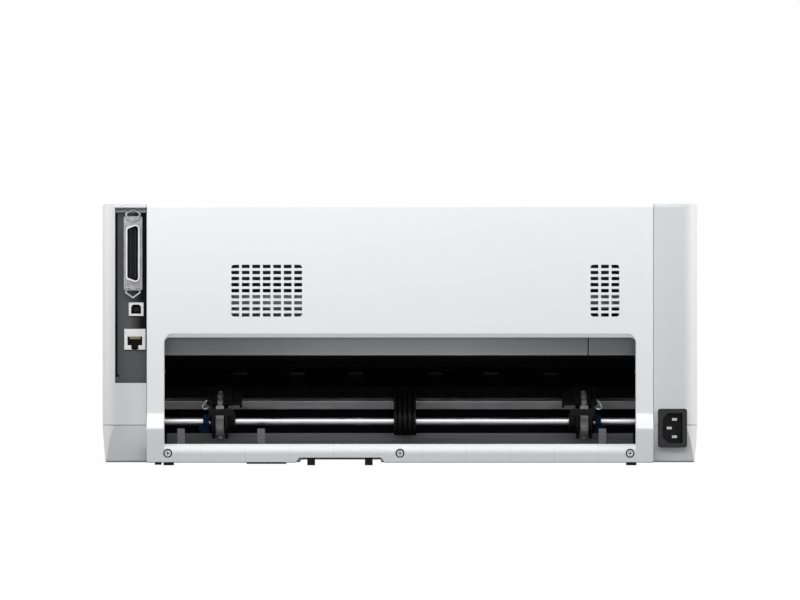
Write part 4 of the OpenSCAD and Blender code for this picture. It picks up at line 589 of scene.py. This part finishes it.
def add_piece(name, verts, faces, look, body, slot, bevel=0.0, segments=2):
    """A piece from points in millimetres, on a body, with rounded edges where a bevel is given."""
    mesh = bpy.data.meshes.new(name)
    mesh.from_pydata([Vector(v) * MM for v in verts], [], faces)
    bm = bmesh.new()
    bm.from_mesh(mesh)
    bmesh.ops.recalc_face_normals(bm, faces=bm.faces)
    if bevel:
        sharp = [e for e in bm.edges if len(e.link_faces) == 2 and e.calc_face_angle(0) > BEVEL_ANGLE]
        bmesh.ops.bevel(bm, geom=sharp, offset=bevel * MM, segments=segments, profile=0.5, affect="EDGES")
    bm.to_mesh(mesh)
    bm.free()
    obj = bpy.data.objects.new(name, mesh)
    bpy.context.scene.collection.objects.link(obj)
    mesh.materials.append(look.mat)
    mesh.shade_smooth()
    mesh.set_sharp_from_angle(angle=SMOOTH_ANGLE)
    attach(obj, body)


def prism(outline, low, high, axis):
    """Points and faces of an outline pushed along an axis; the outline's plane is the other two, in order."""
    order = {"x": (2, 0, 1), "y": (0, 2, 1), "z": (0, 1, 2)}[axis]
    n = len(outline)
    verts = [tuple((u, v, w)[i] for i in order) for w in (low, high) for u, v in outline]
    faces = [tuple(range(n)), tuple(range(2 * n - 1, n - 1, -1))]
    faces += [(i, (i + 1) % n, n + (i + 1) % n, n + i) for i in range(n)]
    return verts, faces


def joined(parts):
    """Points and faces of several parts as one."""
    verts, faces = [], []
    for part_verts, part_faces in parts:
        start = len(verts)
        verts += part_verts
        faces += [tuple(start + i for i in f) for f in part_faces]
    return verts, faces


def box_part(x0, x1, y0, y1, z0, z1):
    """Points and faces of a block between these planes."""
    return prism([(x0, z0), (x1, z0), (x1, z1), (x0, z1)], y0, y1, "y")


def strips(rings, sides):
    """Faces between neighbouring rings of points, and the two end faces."""
    faces = []
    for r in range(rings - 1):
        for k in range(sides):
            a, b = r * sides + k, r * sides + (k + 1) % sides
            faces.append((a, b, b + sides, a + sides))
    faces.append(tuple(range(sides))[::-1])
    faces.append(tuple(range((rings - 1) * sides, rings * sides)))
    return faces


def lathe(profile, centre, axis=(0, 1, 0), sides=32):
    """Points and faces of a profile of (radius, height) turned about an axis through a centre."""
    turn = Vector((0, 0, 1)).rotation_difference(Vector(axis)).to_matrix()
    verts = []
    for radius, height in profile:
        for k in range(sides):
            angle = 2 * math.pi * k / sides
            point = Vector((radius * math.cos(angle), radius * math.sin(angle), height))
            verts.append(tuple(turn @ point + Vector(centre)))
    return verts, strips(len(profile), sides)


def washer(profile, centre, sides=32):
    """Points and faces of a closed profile turned about a line along Y, open in the middle."""
    verts, faces = lathe(profile + profile[:1], centre, sides=sides)
    return verts[:-sides], [tuple(i % (len(profile) * sides) for i in face) for face in faces[:-2]]


DOME_TIP = 0.02     # radius of the tiny flat at a dome's tip, in millimetres


def dome(radius, height, steps=5):
    """Profile of a dome, for lathe()."""
    turns = [math.pi / 2 * k / steps for k in range(steps + 1)]
    return [(radius * math.cos(turn) + DOME_TIP, height * math.sin(turn)) for turn in turns]


def tube(path, radius, sides=10):
    """Points and faces of a round wire along a path, with flat ends."""
    points = [Vector(p) for p in path]
    verts, side = [], None
    for i, point in enumerate(points):
        way = (points[min(i + 1, len(points) - 1)] - points[max(i - 1, 0)]).normalized()
        side = way.orthogonal() if side is None else side - way * side.dot(way)
        side.normalize()
        other = way.cross(side)
        for k in range(sides):
            angle = 2 * math.pi * k / sides
            verts.append(tuple(point + radius * (math.cos(angle) * side + math.sin(angle) * other)))
    return verts, strips(len(points), sides)


def arc(centre, radius, start, end, steps, u, v):
    """Points of an arc between two angles in degrees, in the plane of two directions."""
    angles = [math.radians(start + (end - start) * k / steps) for k in range(steps + 1)]
    return [Vector(centre) + radius * (math.cos(a) * Vector(u) + math.sin(a) * Vector(v)) for a in angles]


def corners(name):
    """Low and high corner of a CAD node's box, in millimetres."""
    low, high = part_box(name)
    return [c / MM for c in low], [c / MM for c in high]


# ---------------------------------------------------------------- floor, background, lamps
WORLD_LIGHT = 0.1
WORLD_TINT = (0.97, 0.985, 1, 1)
FLOOR_BOUNCE = 0.08       # the floor as other surfaces see it
FLOOR_GLOW = 0.9          # share of plain white in the floor next to the part
FLOOR_HALF = 30.0
SHADOW_NEAR, SHADOW_FAR = 0.3, 0.9     # metres from the part between which the floor turns plain white


def seen_directly(tree):
    """1 for rays from the camera and those that metal or glass passes on, which show the white background."""
    path = tree.nodes.new("ShaderNodeLightPath")
    total = path.outputs["Is Camera Ray"]
    for kind in ("Is Glossy Ray", "Is Transmission Ray"):
        both = tree.nodes.new("ShaderNodeMath")
        both.operation = "MAXIMUM"
        tree.links.new(total, both.inputs[0])
        tree.links.new(path.outputs[kind], both.inputs[1])
        total = both.outputs[0]
    return total


def set_world():
    """Weak even light on the part and a plain white background."""
    world = bpy.data.worlds.new("studio")
    bpy.context.scene.world = world
    world.use_nodes = True
    tree = world.node_tree
    tree.nodes.clear()
    light, white = (tree.nodes.new("ShaderNodeBackground") for _ in range(2))
    light.inputs["Color"].default_value = WORLD_TINT
    light.inputs["Strength"].default_value = WORLD_LIGHT
    white.inputs["Color"].default_value = (1, 1, 1, 1)
    white.inputs["Strength"].default_value = 1
    mix = tree.nodes.new("ShaderNodeMixShader")
    out = tree.nodes.new("ShaderNodeOutputWorld")
    tree.links.new(seen_directly(tree), mix.inputs[0])
    tree.links.new(light.outputs[0], mix.inputs[1])
    tree.links.new(white.outputs[0], mix.inputs[2])
    tree.links.new(mix.outputs[0], out.inputs[0])


def add_floor():
    """White floor that keeps a soft shadow round the part and turns plain white away from it and under it."""
    half = FLOOR_HALF
    mesh = bpy.data.meshes.new("floor")
    mesh.from_pydata([(-half, -half, 0), (half, -half, 0), (half, half, 0), (-half, half, 0)], [], [(0, 1, 2, 3)])
    floor = bpy.data.objects.new("floor", mesh)
    bpy.context.scene.collection.objects.link(floor)
    dim = (FLOOR_BOUNCE,) * 3
    look = Look("studio_floor", dim, 0.9)
    direct = seen_directly(look.tree)
    look.paint(look.mix(direct, dim, (1.0, 1.0, 1.0)))
    radius = look.node("VectorMath", operation="LENGTH")
    look.link(look.where, radius.inputs[0])
    plain = look.spread(radius.outputs["Value"], FLOOR_GLOW, 1.0, SHADOW_NEAR, SHADOW_FAR)
    reach = cad_box[1]
    under = look.all_of(look.between(look.axis("X"), -reach.x, reach.x),
                        look.between(look.axis("Y"), -reach.y, reach.y))
    plain = look.math("MAXIMUM", plain, under)
    glow = look.node("Emission")
    glow.inputs["Strength"].default_value = 1
    mix = look.node("MixShader")
    look.link(look.math("MULTIPLY", direct, plain), mix.inputs[0])
    look.link(look.bsdf.outputs[0], mix.inputs[1])
    look.link(glow.outputs[0], mix.inputs[2])
    look.link(mix.outputs[0], look.tree.nodes["Material Output"].inputs["Surface"])
    mesh.materials.append(look.mat)


def add_lamp(name, place, target, size, watts):
    """Rectangular softbox at a place, turned to a target."""
    data = bpy.data.lights.new(name, "AREA")
    data.shape = "RECTANGLE"
    data.size, data.size_y = size
    data.energy = watts
    lamp = bpy.data.objects.new(name, data)
    lamp.location = place
    lamp.rotation_euler = (Vector(target) - Vector(place)).to_track_quat("-Z", "Y").to_euler()
    lamp.visible_camera = False
    bpy.context.scene.collection.objects.link(lamp)


# Place and target of each softbox, its width and height, all in metres, and its watts
LAMPS = {
    "overhead_softbox": ((0.1, 0, 1.5), (0, 0, 0.1), (1.6, 1.2), 1.4),
    "rear_softbox": ((0.15, 0.65, 0.55), (0, 0.18, 0.15), (1.4, 0.3), 5.7),
    "rear_low_softbox": ((0, 1.6, 0.16), (0, 0.18, 0.1), (1.2, 0.2), 1.8),
    "front_softbox": ((-0.15, -0.65, 0.55), (0, -0.18, 0.15), (1.4, 0.3), 5.7),
    "front_low_softbox": ((0, -1.6, 0.16), (0, -0.18, 0.1), (1.2, 0.2), 1.8),
    "left_softbox": ((1.0, 0.2, 0.35), (0.24, 0.1, 0.12), (0.3, 0.5), 3.6),
    "right_softbox": ((-1.0, 0.2, 0.35), (-0.24, 0.1, 0.12), (0.3, 0.5), 4.1),
    "right_rear_softbox": ((-1.1, 0.5, 0.5), (-0.24, 0.1, 0.12), (0.6, 0.6), 4.0),
}


def add_lamps():
    """Softboxes on every side and a weak one overhead."""
    for name, (place, target, size, watts) in LAMPS.items():
        add_lamp(name, place, target, size, watts)


# ---------------------------------------------------------------- interfaces
PLATE_T, FLANGE_T = 1.2, 1.5       # thickness of the interface plate and of the connector's flange
RIVET_DX, RIVET_DZ = 4.8, 27.7     # rivets from the connector's middle
RIVET_R, RIVET_H = 1.25, 0.9


def connector_rivets(plate_y):
    """Four rivet heads on the parallel connector's flange."""
    low, high = corners("parallel_connector")
    x, z = (low[0] + high[0]) / 2, (low[2] + high[2]) / 2
    places = [(x + sx * RIVET_DX, plate_y + FLANGE_T, z + sz * RIVET_DZ) for sx in (-1, 1) for sz in (-1, 1)]
    parts = [lathe(dome(RIVET_R, RIVET_H), place, sides=20) for place in places]
    add_piece("connector_rivets", *joined(parts), LOOKS["screw"], "root", "steel")


STRIP_H, STRIP_T = 3.5, 0.4
STRIP_IN, STRIP_OUT, STRIP_UNDER = 0.3, 1.4, 1.0     # strip from the plate's inner side, outer side and top
FINGER_PITCH, FINGER_W, FINGER_INSET = 1.05, 0.65, 0.4
FINGER_Y = (0.3, 0.9)     # inner and outer face of a finger from the plate's face
FINGER_Z = (1.9, 0.9)     # bottom and top of a finger below the strip's top


def shielding_strip(plate_y):
    """Metal strip with pressed fingers along the top of the interface recess."""
    low, high = corners("interface_plate")
    x0, x1, z1 = low[0] + STRIP_IN, high[0] - STRIP_OUT, high[2] - STRIP_UNDER
    strip = box_part(x0, x1, plate_y, plate_y + STRIP_T, z1 - STRIP_H, z1)
    add_piece("shielding_strip", *strip, LOOKS["foil"], "root", "steel", bevel=0.12, segments=1)
    parts = []
    for k in range(int((x1 - x0 - FINGER_INSET) / FINGER_PITCH)):
        x = x0 + FINGER_INSET + k * FINGER_PITCH
        parts.append(box_part(x, x + FINGER_W, plate_y + FINGER_Y[0], plate_y + FINGER_Y[1],
                              z1 - FINGER_Z[0], z1 - FINGER_Z[1]))
    add_piece("shielding_fingers", *joined(parts), LOOKS["finger"], "root", "steel", bevel=0.1, segments=1)


# ---------------------------------------------------------------- fasteners
SCREW_R, SCREW_HEAD_H = 2.8, 1.6
WASHER_R, WASHER_T = 3.5, 1.1
WASHER_PLAY, WASHER_CHAMFER = 0.08, 0.1


def screw_shade_washers():
    """Black washer round each screw head, at the bottom of its counterbore, standing in for the counterbore's
    shade.
    """
    low, high = corners("case_screws")
    z, seat = (low[2] + high[2]) / 2, high[1] - SCREW_HEAD_H
    bore = SCREW_R + WASHER_PLAY
    profile = [(bore, 0), (bore, WASHER_T), (WASHER_R - WASHER_CHAMFER, WASHER_T),
               (WASHER_R, WASHER_T - WASHER_CHAMFER), (WASHER_R, 0)]
    parts = [washer(profile, (x, seat, z)) for x in (low[0] + SCREW_R, 0, high[0] - SCREW_R)]
    add_piece("screw_shade_washers", *joined(parts), LOOKS["black"], "root", "steel")


# ---------------------------------------------------------------- tractors
CLIP_R, CLIP_WIRE, CLIP_OUT = 5.4, 0.6, 3.2
# Upper tail of the clip from the hoop's end: outwards, to the rear and up
CLIP_TAIL = ((0.6, 0.2, 0.5), (1.6, 0.2, 0.6), (2.8, 0, 0), (3.6, -0.2, -1.2), (4.2, -0.4, -2.8), (5.2, -0.6, -3.9))
CURL_OUT, CURL_IN, CURL_DOWN, CURL_R = 3.2, 0.4, 2.6, 2.1
HOOP_TURN, CURL_TURN = (-150, 20), (-160, 60)     # degrees from which and to which the wire runs


def shaft_clip(side, name):
    """Spring clip that holds a tractor's sprocket on the square shaft, with a tail and a curl."""
    low, high = corners("tractor_sprocket_" + name)
    shaft_low, shaft_high = corners("tractor_drive_shaft")
    y, z = (shaft_low[1] + shaft_high[1]) / 2, (shaft_low[2] + shaft_high[2]) / 2
    x = high[0] + CLIP_OUT if side > 0 else low[0] - CLIP_OUT
    hoop = arc((x, y, z), CLIP_R, *HOOP_TURN, 20, (0, 1, 0), (0, 0, 1))
    tail = [hoop[-1] + Vector((side * dx, dy, dz)) for dx, dy, dz in CLIP_TAIL]
    curl = arc((x + side * CURL_OUT, y + CLIP_R - CURL_IN, z - CURL_DOWN), CURL_R, *CURL_TURN, 12,
               (side, 0, 0), (0, 0, 1))
    parts = [tube(hoop + tail, CLIP_WIRE), tube(curl, CLIP_WIRE)]
    add_piece("shaft_clip_" + name, *joined(parts), LOOKS["clip"], "tractor_" + name, "steel")


# ---------------------------------------------------------------- control panel
LAMP_RISE, LAMP_SINK = 14.0, 1.3     # indicator lamps from their buttons' middles, up the panel and into it
LAMP_R, LAMP_H = 1.3, 0.7
SYMBOL_R, SYMBOL_SIDES = 0.22, 8     # a sign's stroke
ARC_STEPS, LINE_STEPS = 24, 4
TOP_FACE = 0.00005                   # metres: points this near to the highest one belong to a button's top
# The body that each button rides and the strokes of its sign, in millimetres from the button's middle
BUTTONS = {
    "power_button": ("power_key", [("arc", 0, 0, 2.1, 120, 420), ("line", 0, 0.6, 0, 3.0)]),
    "panel_button_1": ("key_1", [("line", -2.0, -1.4, 0, 1.2), ("line", 0, 1.2, 2.0, -1.4),
                                 ("line", -2.0, -1.4, 2.0, -1.4)]),
    "panel_button_2": ("key_2", [("line", -0.9, -1.5, -0.9, 1.5), ("line", 0.9, -1.5, 0.9, 1.5)]),
    "panel_button_3": ("key_3", [("line", -1.4, -1.4, 1.4, -1.4), ("line", 1.4, -1.4, 1.4, 1.4),
                                 ("line", 1.4, 1.4, -1.4, 1.4), ("line", -1.4, 1.4, -1.4, -1.4)]),
}


def button_top(name):
    """Middle of a button's top face and the directions across, up and out of it, in millimetres."""
    mesh = NODES[name].data
    face = max(mesh.polygons, key=lambda f: -f.normal.y * f.area)
    out = face.normal.copy()
    reach = [v.co.dot(out) for v in mesh.vertices]
    top = [v.co for v, r in zip(mesh.vertices, reach) if r > max(reach) - TOP_FACE]
    middle = sum(top, Vector()) / len(top) / MM
    across = Vector((1, 0, 0))
    return middle, across, out.cross(across).normalized(), out


def button_symbols():
    """Plain generic signs: on and off, feed, pause and stop."""
    for name, (body, strokes) in BUTTONS.items():
        middle, across, up, _ = button_top(name)
        parts = []
        for kind, *numbers in strokes:
            if kind == "arc":
                x, y, radius, start, end = numbers
                path = arc(middle + across * x + up * y, radius, start, end, ARC_STEPS, across, up)
            else:
                x0, y0, x1, y1 = numbers
                path = [middle + across * (x0 + (x1 - x0) * k / LINE_STEPS) + up * (y0 + (y1 - y0) * k / LINE_STEPS)
                        for k in range(LINE_STEPS + 1)]
            parts.append(tube(path, SYMBOL_R, SYMBOL_SIDES))
        add_piece(name + "_symbol", *joined(parts), LOOKS["symbol"], body, "trim_plastic")


def indicator_lamps():
    """A green lens above each button."""
    parts = []
    for name in BUTTONS:
        middle, _, up, out = button_top(name)
        parts.append(lathe(dome(LAMP_R, LAMP_H), middle + up * LAMP_RISE - out * LAMP_SINK, axis=out, sides=20))
    add_piece("indicator_lamps", *joined(parts), LOOKS["lamp"], "root", "trim_plastic")


# ---------------------------------------------------------------- top
TEAR_BAR_HALF = 147.0
TEAR_PITCH = 2.1
TEAR_BACK, TEAR_T = 5.9, 0.9                         # bar in front of the sheet guide, and its thickness
TEAR_FOOT, TEAR_ROOT, TEAR_TIP = 6.0, 1.9, 0.7       # below the deck


def tear_bar():
    """Saw-toothed steel strip in the paper exit behind the top cover."""
    deck = corners("rear_cover")[1][2]
    y = corners("sheet_guide")[0][1] - TEAR_BACK
    outline = [(-TEAR_BAR_HALF, deck - TEAR_FOOT), (TEAR_BAR_HALF, deck - TEAR_FOOT)]
    for k in range(int(2 * TEAR_BAR_HALF / TEAR_PITCH) + 1):
        x = TEAR_BAR_HALF - k * TEAR_PITCH
        outline += [(x, deck - TEAR_ROOT), (x - TEAR_PITCH / 2, deck - TEAR_TIP)]
    add_piece("tear_bar", *prism(outline[:-1], y, y + TEAR_T, "y"), LOOKS["blade"], "root", "steel")


place_camera()
set_world()
add_floor()
add_lamps()
dress_nodes()
plate_face_y = corners("interface_plate")[0][1] + PLATE_T
connector_rivets(plate_face_y)
shielding_strip(plate_face_y)
screw_shade_washers()
shaft_clip(1, "left")
shaft_clip(-1, "right")
button_symbols()
indicator_lamps()
tear_bar()

bpy.context.scene.view_settings.view_transform = "Standard"
